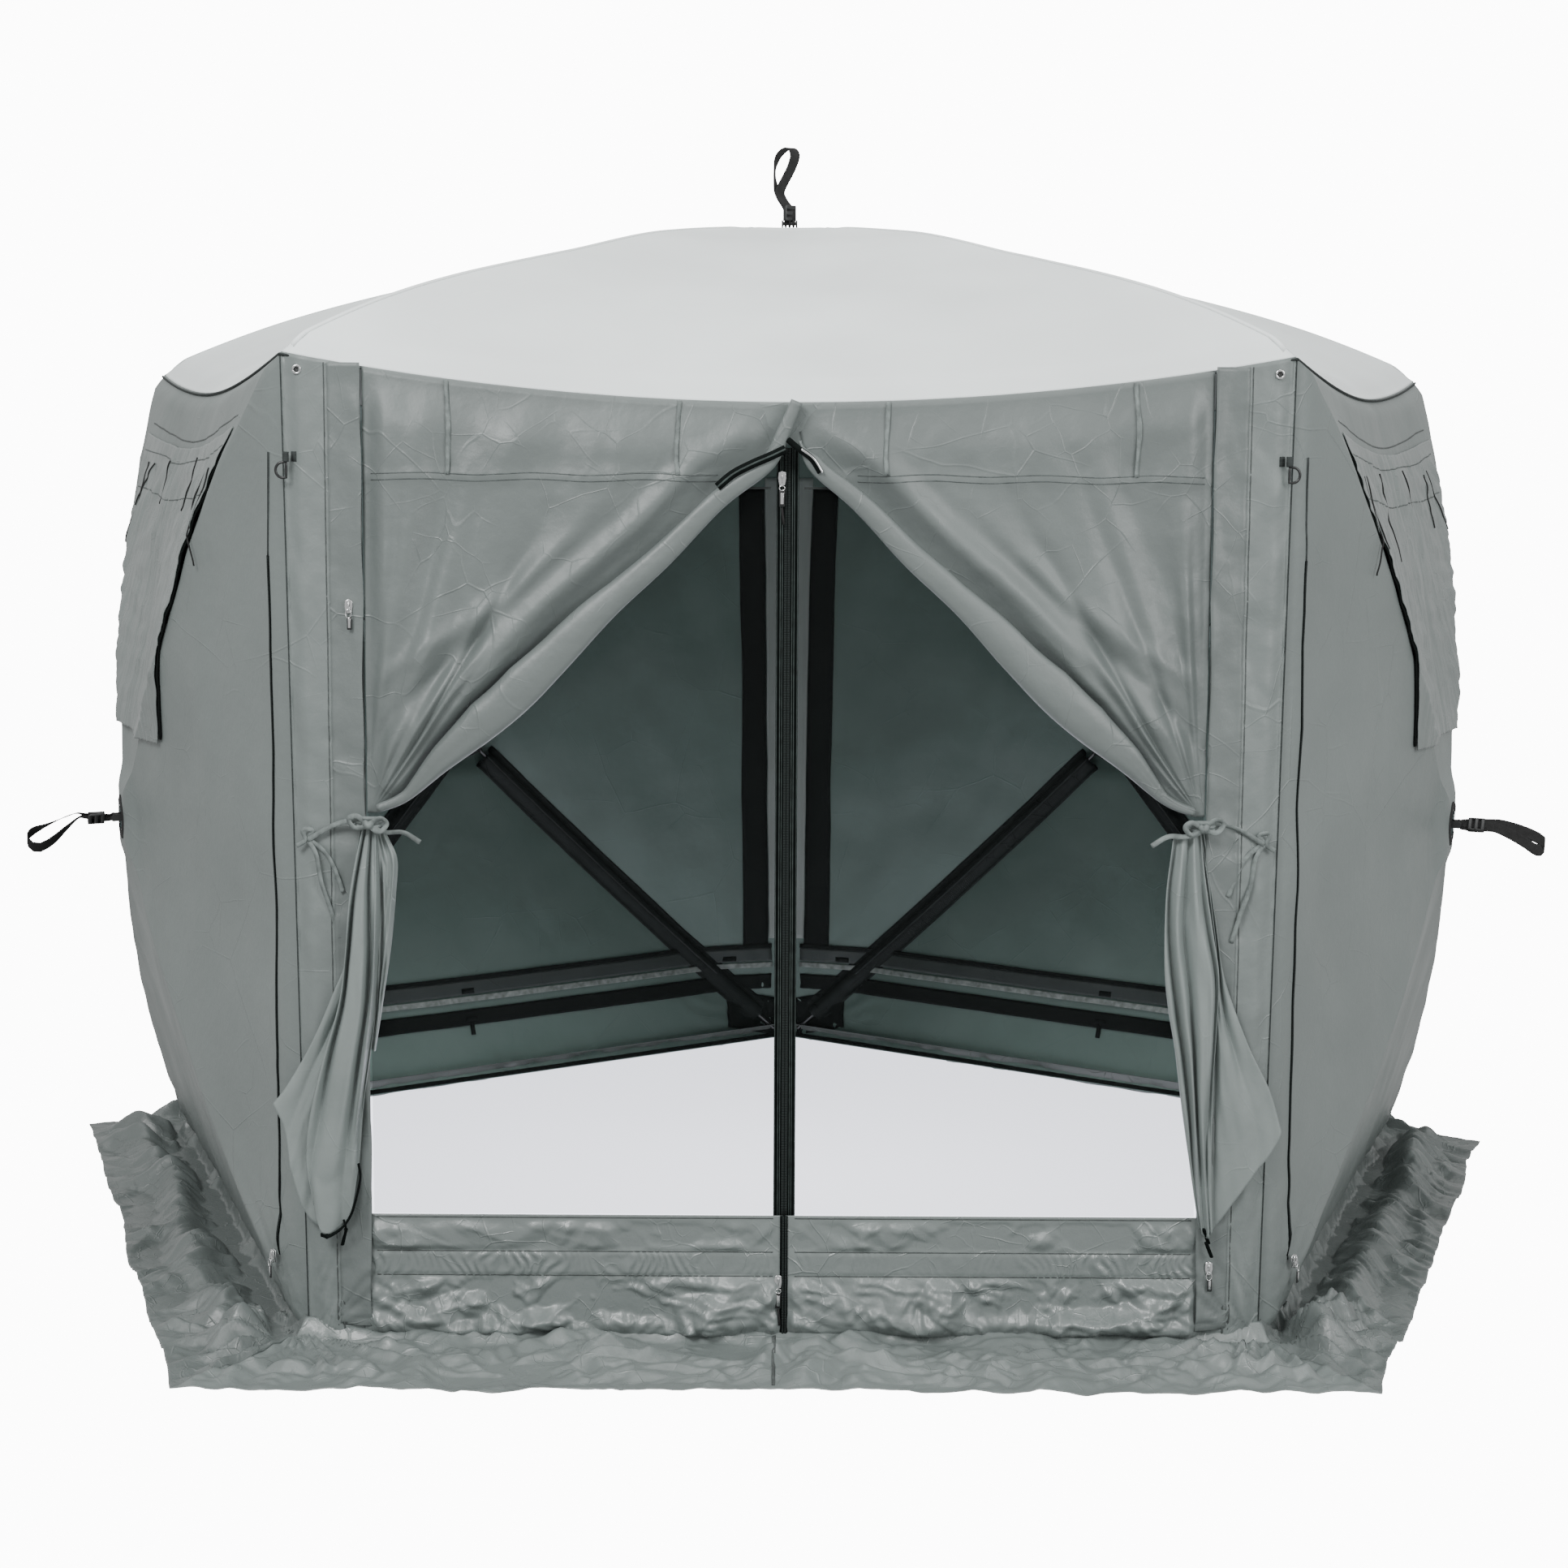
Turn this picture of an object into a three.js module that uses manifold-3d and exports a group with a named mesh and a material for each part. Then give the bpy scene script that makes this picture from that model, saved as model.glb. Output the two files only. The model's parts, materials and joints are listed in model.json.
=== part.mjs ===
// Five-sided pop-up screen shelter with a hub frame.
// Four walls and the roof each carry a central hub with flexible poles that run to the corners.
// The fifth side, at the front, is flat and holds the screen door.
// Millimetres, +Z up, front towards -Y, origin at the bottom centre of the whole tent's box.
import * as THREE from "three";
import { mergeVertices } from "three/addons/utils/BufferGeometryUtils.js";
import Module from "manifold-3d";

const wasm = await Module();
wasm.setup();

// Driving dimensions.
const SIDES = 5;
const TOP_EDGE = 1810; // side of the pentagon at the eaves
const BASE_EDGE = 1766; // side of the pentagon on the ground
const CORNER_HEIGHT = 1800;
const HUB_HEIGHT = 880; // wall hubs above the ground
const WALL_BULGE = 205; // wall poles stand this far out of the wall's plane at the hub
const ROOF_RISE = 288; // roof poles rise this far from the eaves to the hub
const WALL_BOW = 35; // outward bow of a wall pole at its middle
const ROOF_BOW = 62;
const EAVE_DIP = 85; // the eaves hang this much lower midway between two corners
const FACE_SAG = 18; // cloth between two poles pulls in by this much
const CLOTH = 3;
const SKIRT_WIDTH = 300;
const SKIRT_CLOTH = 4;
const DOOR_HALF_WIDTH = 765;
const DOOR_TOP = 1640;
const SILL_HEIGHT = 245;
const POLE_RADIUS = 5.5;
const HUB_RADIUS = 58;
const HUB_THICKNESS = 30;
const PIN_RADIUS = 3;
const PIN_CIRCLE = 42; // pole pins stand on this radius round the hub's axis
const STRAP_LENGTH = 165;
const STRAP_WIDTH = 25;
const WALL_STRAP_DROOP = THREE.MathUtils.degToRad(18);

// Clearances.
const CLOTH_OFF_POLE = POLE_RADIUS + 7; // from a pole's axis to the cloth outside it
const CLOTH_OFF_HUB = HUB_THICKNESS / 2 + 8;
const POLE_TIP_GAP = 45; // wall pole tips stop this far short of the corner
const ROOF_TIP_GAP = 58;
const SEAM_GAP = 3;
const GROUND_GAP = 8;

// Derived sizes.
const HALF_ANGLE = Math.PI / SIDES;
const TOP_RADIUS = TOP_EDGE / (2 * Math.sin(HALF_ANGLE));
const TOP_APOTHEM = TOP_EDGE / (2 * Math.tan(HALF_ANGLE));
const BASE_APOTHEM = BASE_EDGE / (2 * Math.tan(HALF_ANGLE));
const LEAN = Math.atan((TOP_APOTHEM - BASE_APOTHEM) / CORNER_HEIGHT);
const HUB_APOTHEM = BASE_APOTHEM + HUB_HEIGHT * Math.tan(LEAN);
const UP = (CORNER_HEIGHT - HUB_HEIGHT) / Math.cos(LEAN); // hub to eaves, up the wall
const DOWN = HUB_HEIGHT / Math.cos(LEAN);
const CLOTH_DOWN = (HUB_HEIGHT - GROUND_GAP) / Math.cos(LEAN);
const SKIRT_INNER = BASE_APOTHEM + 18;
const SKIRT_OUTER = SKIRT_INNER + SKIRT_WIDTH;
const SKIRT_BACK = SKIRT_OUTER / Math.cos(HALF_ANGLE) - SEAM_GAP * Math.sin(HALF_ANGLE);
const CENTRE_Y = (SKIRT_OUTER - SKIRT_BACK) / 2; // tent centre, from the box's centre

// Materials.
const material = (color, roughness, metalness = 0) =>
  new THREE.MeshStandardMaterial({ color, roughness, metalness });
const wallCloth = material(0x7b8382, 0.6);
const roofCloth = material(0xd6dad9, 0.6);
const screenMesh = material(0x1c2423, 0.8);
const fibreglass = material(0x1a1c1c, 0.35);
const hubPlastic = material(0x161818, 0.5);
const webbing = material(0x1b1918, 0.85);
const castMetal = material(0xc9cccc, 0.25, 1);
const blackMetal = material(0x141616, 0.4, 0.6);

const mesh = (name, geometry, look) => {
  const made = new THREE.Mesh(geometry, look);
  made.name = name;
  return made;
};

// Boolean work.
function solid(geometry) {
  const bare = geometry.index ? geometry.toNonIndexed() : geometry.clone();
  bare.deleteAttribute("normal");
  bare.deleteAttribute("uv");
  const merged = mergeVertices(bare, 1e-3);
  return new wasm.Manifold(
    new wasm.Mesh({
      numProp: 3,
      vertProperties: merged.attributes.position.array,
      triVerts: new Uint32Array(merged.index.array),
    }),
  );
}

function geometryOf(manifold) {
  const made = manifold.getMesh();
  const geometry = new THREE.BufferGeometry();
  geometry.setAttribute("position", new THREE.BufferAttribute(made.vertProperties, 3));
  geometry.setIndex(new THREE.BufferAttribute(made.triVerts, 1));
  return geometry;
}

const join = (parts) => parts.map(solid).reduce((whole, part) => whole.add(part));

const box = (width, height, depth, x, y, z) =>
  new THREE.BoxGeometry(width, height, depth).translate(x, y, z);

// How far a pole's axis stands out of its panel's plane: 0 at the corner, 1 at the hub.
const standOut = (t, rise, bow) => rise * t + bow * 4 * t * (1 - t);

// 1 over the hub at the middle of a panel, 0 away from it.
const overHub = (t) => THREE.MathUtils.smoothstep(t, 0.88, 0.94);

const clothOff = (t) => THREE.MathUtils.lerp(CLOTH_OFF_POLE, CLOTH_OFF_HUB, overHub(t));

// How far the cloth pulls in between two poles; arch is 0 at the poles and 1 midway.
const clothSag = (arch, t) => FACE_SAG * arch * 4 * t * (1 - t) * (1 - overHub(t));

// Cloth between rings of points, the first ring on the panel's edge and the last round its hole.
function clothShell(rings, thickness) {
  const count = rings[0].length;
  const points = [];
  for (const lift of [0, thickness])
    for (const ring of rings) for (const p of ring) points.push(p.x, p.y, p.z + lift);
  const inside = (j, i) => j * count + (i % count);
  const outside = (j, i) => inside(j + rings.length, i);
  const faces = [];
  const quad = (a, b, c, d) => faces.push(a, b, c, a, c, d);
  const last = rings.length - 1;
  for (let i = 0; i < count; i++) {
    for (let j = 0; j < last; j++) {
      quad(outside(j, i), outside(j, i + 1), outside(j + 1, i + 1), outside(j + 1, i));
      quad(inside(j, i), inside(j + 1, i), inside(j + 1, i + 1), inside(j, i + 1));
    }
    quad(inside(0, i), inside(0, i + 1), outside(0, i + 1), outside(0, i));
    quad(inside(last, i + 1), inside(last, i), outside(last, i), outside(last, i + 1));
  }
  const geometry = new THREE.BufferGeometry();
  geometry.setAttribute("position", new THREE.Float32BufferAttribute(points, 3));
  geometry.setIndex(faces);
  return geometry;
}

// A closed slab of cloth over a rectangular grid of points.
function gridShell(grid, thickness) {
  const rows = grid.length;
  const columns = grid[0].length;
  const points = [];
  for (const lift of [0, thickness])
    for (const row of grid) for (const p of row) points.push(p.x, p.y, p.z + lift);
  const inside = (r, c) => r * columns + c;
  const outside = (r, c) => inside(r + rows, c);
  const faces = [];
  const quad = (a, b, c, d) => faces.push(a, b, c, a, c, d);
  for (let r = 0; r < rows - 1; r++)
    for (let c = 0; c < columns - 1; c++) {
      quad(outside(r, c), outside(r + 1, c), outside(r + 1, c + 1), outside(r, c + 1));
      quad(inside(r, c), inside(r, c + 1), inside(r + 1, c + 1), inside(r + 1, c));
    }
  for (let r = 0; r < rows - 1; r++) {
    quad(inside(r, 0), inside(r + 1, 0), outside(r + 1, 0), outside(r, 0));
    const e = columns - 1;
    quad(inside(r, e), outside(r, e), outside(r + 1, e), inside(r + 1, e));
  }
  for (let c = 0; c < columns - 1; c++) {
    quad(inside(0, c), outside(0, c), outside(0, c + 1), inside(0, c + 1));
    const e = rows - 1;
    quad(inside(e, c), inside(e, c + 1), outside(e, c + 1), outside(e, c));
  }
  const geometry = new THREE.BufferGeometry();
  geometry.setAttribute("position", new THREE.Float32BufferAttribute(points, 3));
  geometry.setIndex(faces);
  return geometry;
}

// Wall panel: rings shrink from the wall's edge towards the hub.
const EDGE_POINTS = 4;
const WALL_CORNERS = [
  [BASE_EDGE / 2 - SEAM_GAP, -CLOTH_DOWN],
  [TOP_EDGE / 2 - SEAM_GAP, UP],
  [-TOP_EDGE / 2 + SEAM_GAP, UP],
  [-BASE_EDGE / 2 + SEAM_GAP, -CLOTH_DOWN],
];
const RING_STEPS = [0, 0.12, 0.3, 0.5, 0.7, 0.87, 0.94];
const STRAP_HOLE = 30; // half width of the hole that the strap's ears pass through

function wallRing(t) {
  const ring = [];
  WALL_CORNERS.forEach(([x0, y0], side) => {
    const [x1, y1] = WALL_CORNERS[(side + 1) % WALL_CORNERS.length];
    const dip = side === 1 ? EAVE_DIP : 0;
    for (let i = 0; i < EDGE_POINTS; i++) {
      const s = i / EDGE_POINTS;
      const arch = 4 * s * (1 - s);
      ring.push(
        new THREE.Vector3(
          THREE.MathUtils.lerp(x0, x1, s) * (1 - t),
          (THREE.MathUtils.lerp(y0, y1, s) - dip * arch) * (1 - t),
          standOut(t, WALL_BULGE, WALL_BOW) + clothOff(t) - clothSag(arch, t),
        ),
      );
    }
  });
  return ring;
}

function wallCanvas() {
  const hole = 1 - STRAP_HOLE / (BASE_EDGE / 2);
  return clothShell([...RING_STEPS, hole].map(wallRing), CLOTH);
}

// Height of the wall cloth's outer face over a point of the wall's plane.
function wallFace(x, y) {
  const across = 1 - Math.abs(x) / (TOP_EDGE / 2);
  const along = 1 - (y > 0 ? y / UP : -y / DOWN);
  const t = Math.max(0, Math.min(across, along));
  return standOut(t, WALL_BULGE, WALL_BOW) + clothOff(t) + CLOTH;
}

// Loose wind panel that hangs over the upper half of a side wall.
const WIND_TOP = { y: 700, half: 650 };
const WIND_HEM = { y: 140, half: 265 };
const WIND_OFF = 28;
const WIND_CELLS = 5;

function windPanel() {
  const grid = [];
  for (let r = 0; r <= WIND_CELLS; r++) {
    const v = r / WIND_CELLS;
    const y = THREE.MathUtils.lerp(WIND_TOP.y, WIND_HEM.y, v);
    const half = THREE.MathUtils.lerp(WIND_TOP.half, WIND_HEM.half, v);
    const row = [];
    for (let c = 0; c <= WIND_CELLS; c++) {
      const x = THREE.MathUtils.lerp(-half, half, c / WIND_CELLS);
      row.push(new THREE.Vector3(x, y, wallFace(x, y) + WIND_OFF));
    }
    grid.push(row);
  }
  return gridShell(grid, CLOTH);
}

// Roof panel, in a frame at the eaves' height.
function roofRing(t) {
  const ring = [];
  for (let side = 0; side < SIDES; side++) {
    const from = Math.PI / 2 + side * 2 * HALF_ANGLE;
    const a = new THREE.Vector2(Math.cos(from), Math.sin(from));
    const b = new THREE.Vector2(Math.cos(from + 2 * HALF_ANGLE), Math.sin(from + 2 * HALF_ANGLE));
    for (let i = 0; i < EDGE_POINTS; i++) {
      const s = i / EDGE_POINTS;
      const arch = 4 * s * (1 - s);
      const flat = a.clone().lerp(b, s).multiplyScalar((TOP_RADIUS - SEAM_GAP) * (1 - t));
      const dip = EAVE_DIP * arch * (1 - t) ** 2 + clothSag(arch, t);
      const height = standOut(t, ROOF_RISE, ROOF_BOW) + clothOff(t) - dip;
      ring.push(new THREE.Vector3(flat.x, flat.y, height));
    }
  }
  return ring;
}

function roofCanopy() {
  const hole = 1 - STRAP_HOLE / TOP_APOTHEM;
  return clothShell([...RING_STEPS, hole].map(roofRing), CLOTH);
}

// Pole: a bowed tube from its lug in the hub to its tip near the corner.
// The frame is the panel's: the hub's axis is z and the pole leaves along the direction given.
const LUG_WIDTH = 12;
const LUG_DEPTH = 13;
const LUG_FROM = 30;
const LUG_TO = 66;
const POLE_STEPS = 8;

function pole(reach, tipGap, rise, bow) {
  class Bowed extends THREE.Curve {
    getPoint(u, target = new THREE.Vector3()) {
      const r = THREE.MathUtils.lerp(LUG_TO - 8, reach - tipGap, u);
      return target.set(r, 0, standOut(1 - r / reach, rise, bow));
    }
  }
  const section = new THREE.Shape();
  for (let i = 0; i < 8; i++) {
    const a = (i / 8) * 2 * Math.PI;
    const point = [POLE_RADIUS * Math.cos(a), POLE_RADIUS * Math.sin(a)];
    if (i) section.lineTo(...point);
    else section.moveTo(...point);
  }
  const tube = new THREE.ExtrudeGeometry(section, { steps: POLE_STEPS, extrudePath: new Bowed() });
  const z = standOut(1 - PIN_CIRCLE / reach, rise, bow);
  const lug = box(LUG_TO - LUG_FROM, LUG_WIDTH, LUG_DEPTH, (LUG_FROM + LUG_TO) / 2, 0, z);
  const eye = new THREE.CylinderGeometry(PIN_RADIUS + 0.4, PIN_RADIUS + 0.4, 2 * LUG_WIDTH, 10);
  eye.translate(PIN_CIRCLE, 0, z);
  return geometryOf(join([tube, lug]).subtract(solid(eye)));
}

// Hub: a disc with one open slot and one cross pin for each pole, and two ears for the pull strap.
const SLOT_WIDTH = 15;
const SLOT_FROM = 25;
const EAR_GAP = STRAP_WIDTH / 2 + 1;
const EAR = 4;
const EAR_RADIUS = 7;
const STRAP_PIN_RISE = CLOTH_OFF_HUB + CLOTH + 12; // strap pin above the hub's middle plane
const STRAP_PIN_RADIUS = 4;

function hub(directions, rise) {
  const disc = new THREE.CylinderGeometry(HUB_RADIUS, HUB_RADIUS, HUB_THICKNESS, 24);
  disc.rotateX(Math.PI / 2).translate(0, 0, rise);
  let body = solid(disc);
  for (const direction of directions) {
    const length = HUB_RADIUS + 5 - SLOT_FROM;
    const slot = box(length, SLOT_WIDTH, 2 * HUB_THICKNESS, SLOT_FROM + length / 2, 0, rise);
    body = body.subtract(solid(slot.rotateZ(direction)));
  }
  for (const direction of directions) {
    const pin = new THREE.CylinderGeometry(PIN_RADIUS, PIN_RADIUS, SLOT_WIDTH + 4, 10);
    pin.translate(PIN_CIRCLE, 0, rise).rotateZ(direction);
    body = body.add(solid(pin));
  }
  const foot = HUB_THICKNESS / 2 - 2;
  for (const side of [-1, 1]) {
    const height = STRAP_PIN_RISE - foot;
    const x = side * (EAR_GAP + EAR / 2);
    const ear = box(EAR, 2 * EAR_RADIUS, height, x, 0, rise + foot + height / 2);
    const round = new THREE.CylinderGeometry(EAR_RADIUS, EAR_RADIUS, EAR, 12);
    round.rotateZ(Math.PI / 2).translate(x, 0, rise + STRAP_PIN_RISE);
    body = body.add(solid(ear)).add(solid(round));
  }
  const length = 2 * (EAR_GAP + EAR / 2);
  const bar = new THREE.CylinderGeometry(STRAP_PIN_RADIUS, STRAP_PIN_RADIUS, length, 10);
  bar.rotateZ(Math.PI / 2).translate(0, 0, rise + STRAP_PIN_RISE);
  return geometryOf(body.add(solid(bar)));
}

// Pull strap: an eye round the hub's strap pin, a stem with its buckle, and a hand loop.
// It lies in the y-z plane of its panel and is as wide as its webbing along x.
const LOOP_HALF = 34;
const STRAP_CLOTH = 3;
const STEM_END = 62;
const BUCKLE = { from: 24, length: 30, thickness: 12 };

function teardrop(grow) {
  const shape = new THREE.Shape();
  const tip = STEM_END - grow;
  const end = STRAP_LENGTH - LOOP_HALF;
  shape.moveTo(tip, 0);
  shape.quadraticCurveTo(tip + 40, -(LOOP_HALF + grow) * 0.5, end, -(LOOP_HALF + grow));
  shape.absarc(end, 0, LOOP_HALF + grow, -Math.PI / 2, Math.PI / 2, false);
  shape.quadraticCurveTo(tip + 40, (LOOP_HALF + grow) * 0.5, tip, 0);
  return shape;
}

function pullStrap(rise, droop) {
  const options = { depth: STRAP_WIDTH, bevelEnabled: false, curveSegments: 5 };
  const loop = solid(new THREE.ExtrudeGeometry(teardrop(STRAP_CLOTH), options));
  const gap = { ...options, depth: STRAP_WIDTH + 4 };
  const inside = solid(new THREE.ExtrudeGeometry(teardrop(0), gap).translate(0, 0, -2));
  const eyeOuter = STRAP_PIN_RADIUS + 0.5 + STRAP_CLOTH;
  const eye = new THREE.CylinderGeometry(eyeOuter, eyeOuter, STRAP_WIDTH, 12);
  eye.rotateX(Math.PI / 2).translate(0, 0, STRAP_WIDTH / 2);
  const stem = box(STEM_END, STRAP_CLOTH, STRAP_WIDTH, STEM_END / 2, 0, STRAP_WIDTH / 2);
  const { from, length, thickness } = BUCKLE;
  const buckle = box(length, thickness, STRAP_WIDTH, from + length / 2, 0, STRAP_WIDTH / 2);
  const bore = STRAP_PIN_RADIUS + 0.5;
  const hole = new THREE.CylinderGeometry(bore, bore, 2 * STRAP_WIDTH, 10).rotateX(Math.PI / 2);
  const whole = loop.subtract(inside).add(join([eye, stem, buckle])).subtract(solid(hole));
  const geometry = geometryOf(whole).translate(0, 0, -STRAP_WIDTH / 2);
  // From drawing axes (length, height, width) to the panel's (z, y, x).
  return geometry.rotateY(-Math.PI / 2).rotateX(droop).translate(0, 0, rise + STRAP_PIN_RISE);
}

// One popped-out panel frame: its hub, poles and strap.
function popFrame(name, corners, { rise, bow, tipGap, droop }) {
  const frame = new THREE.Group();
  const directions = corners.map(({ x, y }) => Math.atan2(y, x));
  const reach = corners.map(({ x, y }) => Math.hypot(x, y));
  const pinRise = standOut(1 - PIN_CIRCLE / reach[0], rise, bow);
  frame.add(mesh(`${name}_hub`, hub(directions, pinRise), hubPlastic));
  corners.forEach((corner, i) => {
    const tube = mesh(`${name}_pole_${corner.label}`, pole(reach[i], tipGap, rise, bow), fibreglass);
    tube.position.z = pinRise - standOut(1 - PIN_CIRCLE / reach[i], rise, bow);
    tube.rotation.z = directions[i];
    frame.add(tube);
  });
  frame.add(mesh(`${name}_pull_strap`, pullStrap(pinRise, droop), webbing));
  return frame;
}

// A frame in a wall's plane: x along the wall, y up it, z out of the tent, origin behind the hub.
function wallFrame(turn) {
  const around = new THREE.Group();
  around.rotation.z = turn;
  const upright = new THREE.Group();
  upright.position.set(0, -HUB_APOTHEM, HUB_HEIGHT);
  upright.rotation.x = Math.PI / 2 + LEAN;
  around.add(upright);
  return { around, upright };
}

// Corners that a wall's four poles run to; plus and minus name its two ends along x.
const wallPoleEnds = (plus, minus) => [
  { label: `upper_${plus}`, x: TOP_EDGE / 2, y: UP },
  { label: `upper_${minus}`, x: -TOP_EDGE / 2, y: UP },
  { label: `lower_${minus}`, x: -BASE_EDGE / 2, y: -DOWN },
  { label: `lower_${plus}`, x: BASE_EDGE / 2, y: -DOWN },
];

// Ground skirt under one wall, mitred at the corners.
function skirt(name) {
  const half = (distance) => distance * Math.tan(HALF_ANGLE) - SEAM_GAP;
  const shape = new THREE.Shape();
  shape.moveTo(-half(SKIRT_OUTER), -SKIRT_OUTER);
  shape.lineTo(half(SKIRT_OUTER), -SKIRT_OUTER);
  shape.lineTo(half(SKIRT_INNER), -SKIRT_INNER);
  shape.lineTo(-half(SKIRT_INNER), -SKIRT_INNER);
  const slab = new THREE.ExtrudeGeometry(shape, { depth: SKIRT_CLOTH, bevelEnabled: false });
  return mesh(name, slab, wallCloth);
}

// Front wall: header and two jambs round the door.
const PANEL_Z = CLOTH_OFF_POLE; // front cloth lies as far out as the other walls' cloth
const DOOR_TOP_Y = (DOOR_TOP - HUB_HEIGHT) / Math.cos(LEAN);

function slabFrom(points, depth, z) {
  const shape = new THREE.Shape(points.map(([x, y]) => new THREE.Vector2(x, y)));
  return new THREE.ExtrudeGeometry(shape, { depth, bevelEnabled: false }).translate(0, 0, z);
}

// D-ring for a guy line, held in a cloth tab at each front corner.
const RING = { half: 12, reach: 6, bar: 3 };
const RING_X = 897;
const RING_HEIGHT = 1615;
const RING_Y = (RING_HEIGHT - HUB_HEIGHT) / Math.cos(LEAN);
const TAB_LENGTH = 20;
const TAB_HALF = 5;
const RING_Z = PANEL_Z + CLOTH + TAB_HALF - 1;

function dRing(side) {
  const { half, reach, bar } = RING;
  const outline = (path, grow) => {
    path.moveTo(-grow, -half - grow);
    path.lineTo(reach, -half - grow);
    path.absarc(reach, 0, half + grow, -Math.PI / 2, Math.PI / 2, false);
    path.lineTo(-grow, half + grow);
    return path;
  };
  const ring = outline(new THREE.Shape(), bar);
  ring.holes.push(outline(new THREE.Path(), 0));
  const options = { depth: bar, bevelEnabled: false, curveSegments: 8 };
  const made = new THREE.ExtrudeGeometry(ring, options).translate(bar / 2, 0, -bar / 2);
  return side < 0 ? made.rotateZ(Math.PI) : made;
}

function frontWall() {
  const top = TOP_EDGE / 2 - SEAM_GAP;
  const base = BASE_EDGE / 2 - SEAM_GAP;
  const shape = new THREE.Shape();
  shape.moveTo(-base, -CLOTH_DOWN);
  shape.lineTo(-DOOR_HALF_WIDTH, -CLOTH_DOWN);
  shape.lineTo(-DOOR_HALF_WIDTH, DOOR_TOP_Y);
  shape.lineTo(DOOR_HALF_WIDTH, DOOR_TOP_Y);
  shape.lineTo(DOOR_HALF_WIDTH, -CLOTH_DOWN);
  shape.lineTo(base, -CLOTH_DOWN);
  shape.lineTo(top, UP);
  shape.quadraticCurveTo(0, UP - 2 * EAVE_DIP, -top, UP);
  const options = { depth: CLOTH, bevelEnabled: false, curveSegments: 8 };
  const panel = new THREE.ExtrudeGeometry(shape, options).translate(0, 0, PANEL_Z);
  let wall = solid(panel);
  for (const side of [-1, 1]) {
    const x = side * RING_X;
    const bore = RING.bar * 0.75;
    const tab = box(2 * TAB_HALF, TAB_LENGTH, 2 * TAB_HALF, x, RING_Y, RING_Z);
    const hole = new THREE.CylinderGeometry(bore, bore, 2 * TAB_LENGTH, 10);
    hole.translate(x, RING_Y, RING_Z);
    wall = wall.add(solid(tab)).subtract(solid(hole));
  }
  return geometryOf(wall);
}

// Screen door: two halves that meet at the middle zip, each a mesh panel over a cloth sill.
const DOOR_GAP = 6;
const ZIP_HALF_GAP = 1.5;
const SILL_SEAM = 1;
const DOOR_ZIP_X = 10; // the door's sliders ride on its left half
const DOOR_SLIDER_HEIGHT = { top: 1605, bottom: 120 };
const FLAP_ZIP_X = 788;
const FLAP_SLIDER_HEIGHT = { left: 1372, right: 150 };
const SILL_Y = (SILL_HEIGHT - HUB_HEIGHT) / Math.cos(LEAN);

function doorHalf(side, from, to) {
  const hinge = side * (DOOR_HALF_WIDTH - DOOR_GAP);
  const middle = side * ZIP_HALF_GAP;
  const [left, right] = side < 0 ? [hinge, middle] : [middle, hinge];
  return slabFrom([[left, from], [right, from], [right, to], [left, to]], CLOTH, PANEL_Z);
}

// Solid door flap, tied back at the jamb: gathered curtain above the tie, loose bundle below.
const FLAP_Z = 27;
const FLAP_DEPTH = 38;
const FLAP_OUTLINE = [
  [775, 800],
  [25, 762],
  [690, 130],
  [712, 84],
  [728, -160],
  [764, -560],
  [800, -655],
  [880, -610],
  [925, -440],
  [850, -190],
  [790, 60],
  [785, 130],
];

function tiedFlap(side) {
  const points = FLAP_OUTLINE.map(([x, y]) => [side * x, y]);
  return slabFrom(points, FLAP_DEPTH, FLAP_Z);
}

// Zip slider: a low body with a raised bridge.
const SLIDER = { width: 15, length: 26, height: 6 };
const SLIDER_OFF = 2.5; // over the cloth of a side wall

function slider() {
  const { width, length, height } = SLIDER;
  const body = box(width, length, height, 0, 0, height / 2);
  const bridge = box(4, length * 0.7, 4, 0, 0, height + 1);
  return geometryOf(join([body, bridge]));
}

// Pull tab that hangs from a slider's bridge and swings out.
const TAB = { width: 12, length: 38, thickness: 2.4, gap: 0.5 };

function pullTab() {
  const { width, length, thickness, gap } = TAB;
  const shape = new THREE.Shape();
  shape.moveTo(-width / 2, 0);
  shape.lineTo(-width / 2, -length + 4);
  shape.lineTo(-2, -length);
  shape.lineTo(2, -length);
  shape.lineTo(width / 2, -length + 4);
  shape.lineTo(width / 2, 0);
  const tab = new THREE.ExtrudeGeometry(shape, { depth: thickness, bevelEnabled: false });
  tab.translate(0, -SLIDER.length / 2 - gap, SLIDER.height + gap);
  return tab;
}

// Turns a piece so that its y runs along "up" and its z faces "out", and puts it at "at".
function settle(piece, at, up, out) {
  const y = up.clone().normalize();
  const x = y.clone().cross(out).normalize();
  piece.quaternion.setFromRotationMatrix(new THREE.Matrix4().makeBasis(x, y, x.clone().cross(y)));
  piece.position.copy(at);
  return piece;
}

// Zip beside the front corner of a side wall, from its foot to its head.
const WALL_ZIP = { footX: 812, footY: -735, headX: 862, headY: 560 };

function wallZip(side) {
  const over = (x, y) => new THREE.Vector3(side * x, y, wallFace(x, y) + SLIDER_OFF);
  const foot = over(WALL_ZIP.footX, WALL_ZIP.footY);
  const head = over(WALL_ZIP.headX, WALL_ZIP.headY);
  const inner = over(WALL_ZIP.footX - 20, WALL_ZIP.footY);
  const up = head.clone().sub(foot);
  const across = foot.clone().sub(inner);
  const out = across.cross(up).multiplyScalar(side);
  return { foot, up, out };
}

// Assembly. Left and right are as seen from the front.
const tent = new THREE.Group();
tent.position.y = CENTRE_Y;

const WALL_POP = { rise: WALL_BULGE, bow: WALL_BOW, tipGap: POLE_TIP_GAP, droop: WALL_STRAP_DROOP };
const ROOF_POP = { rise: ROOF_RISE, bow: ROOF_BOW, tipGap: ROOF_TIP_GAP, droop: 0 };

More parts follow.
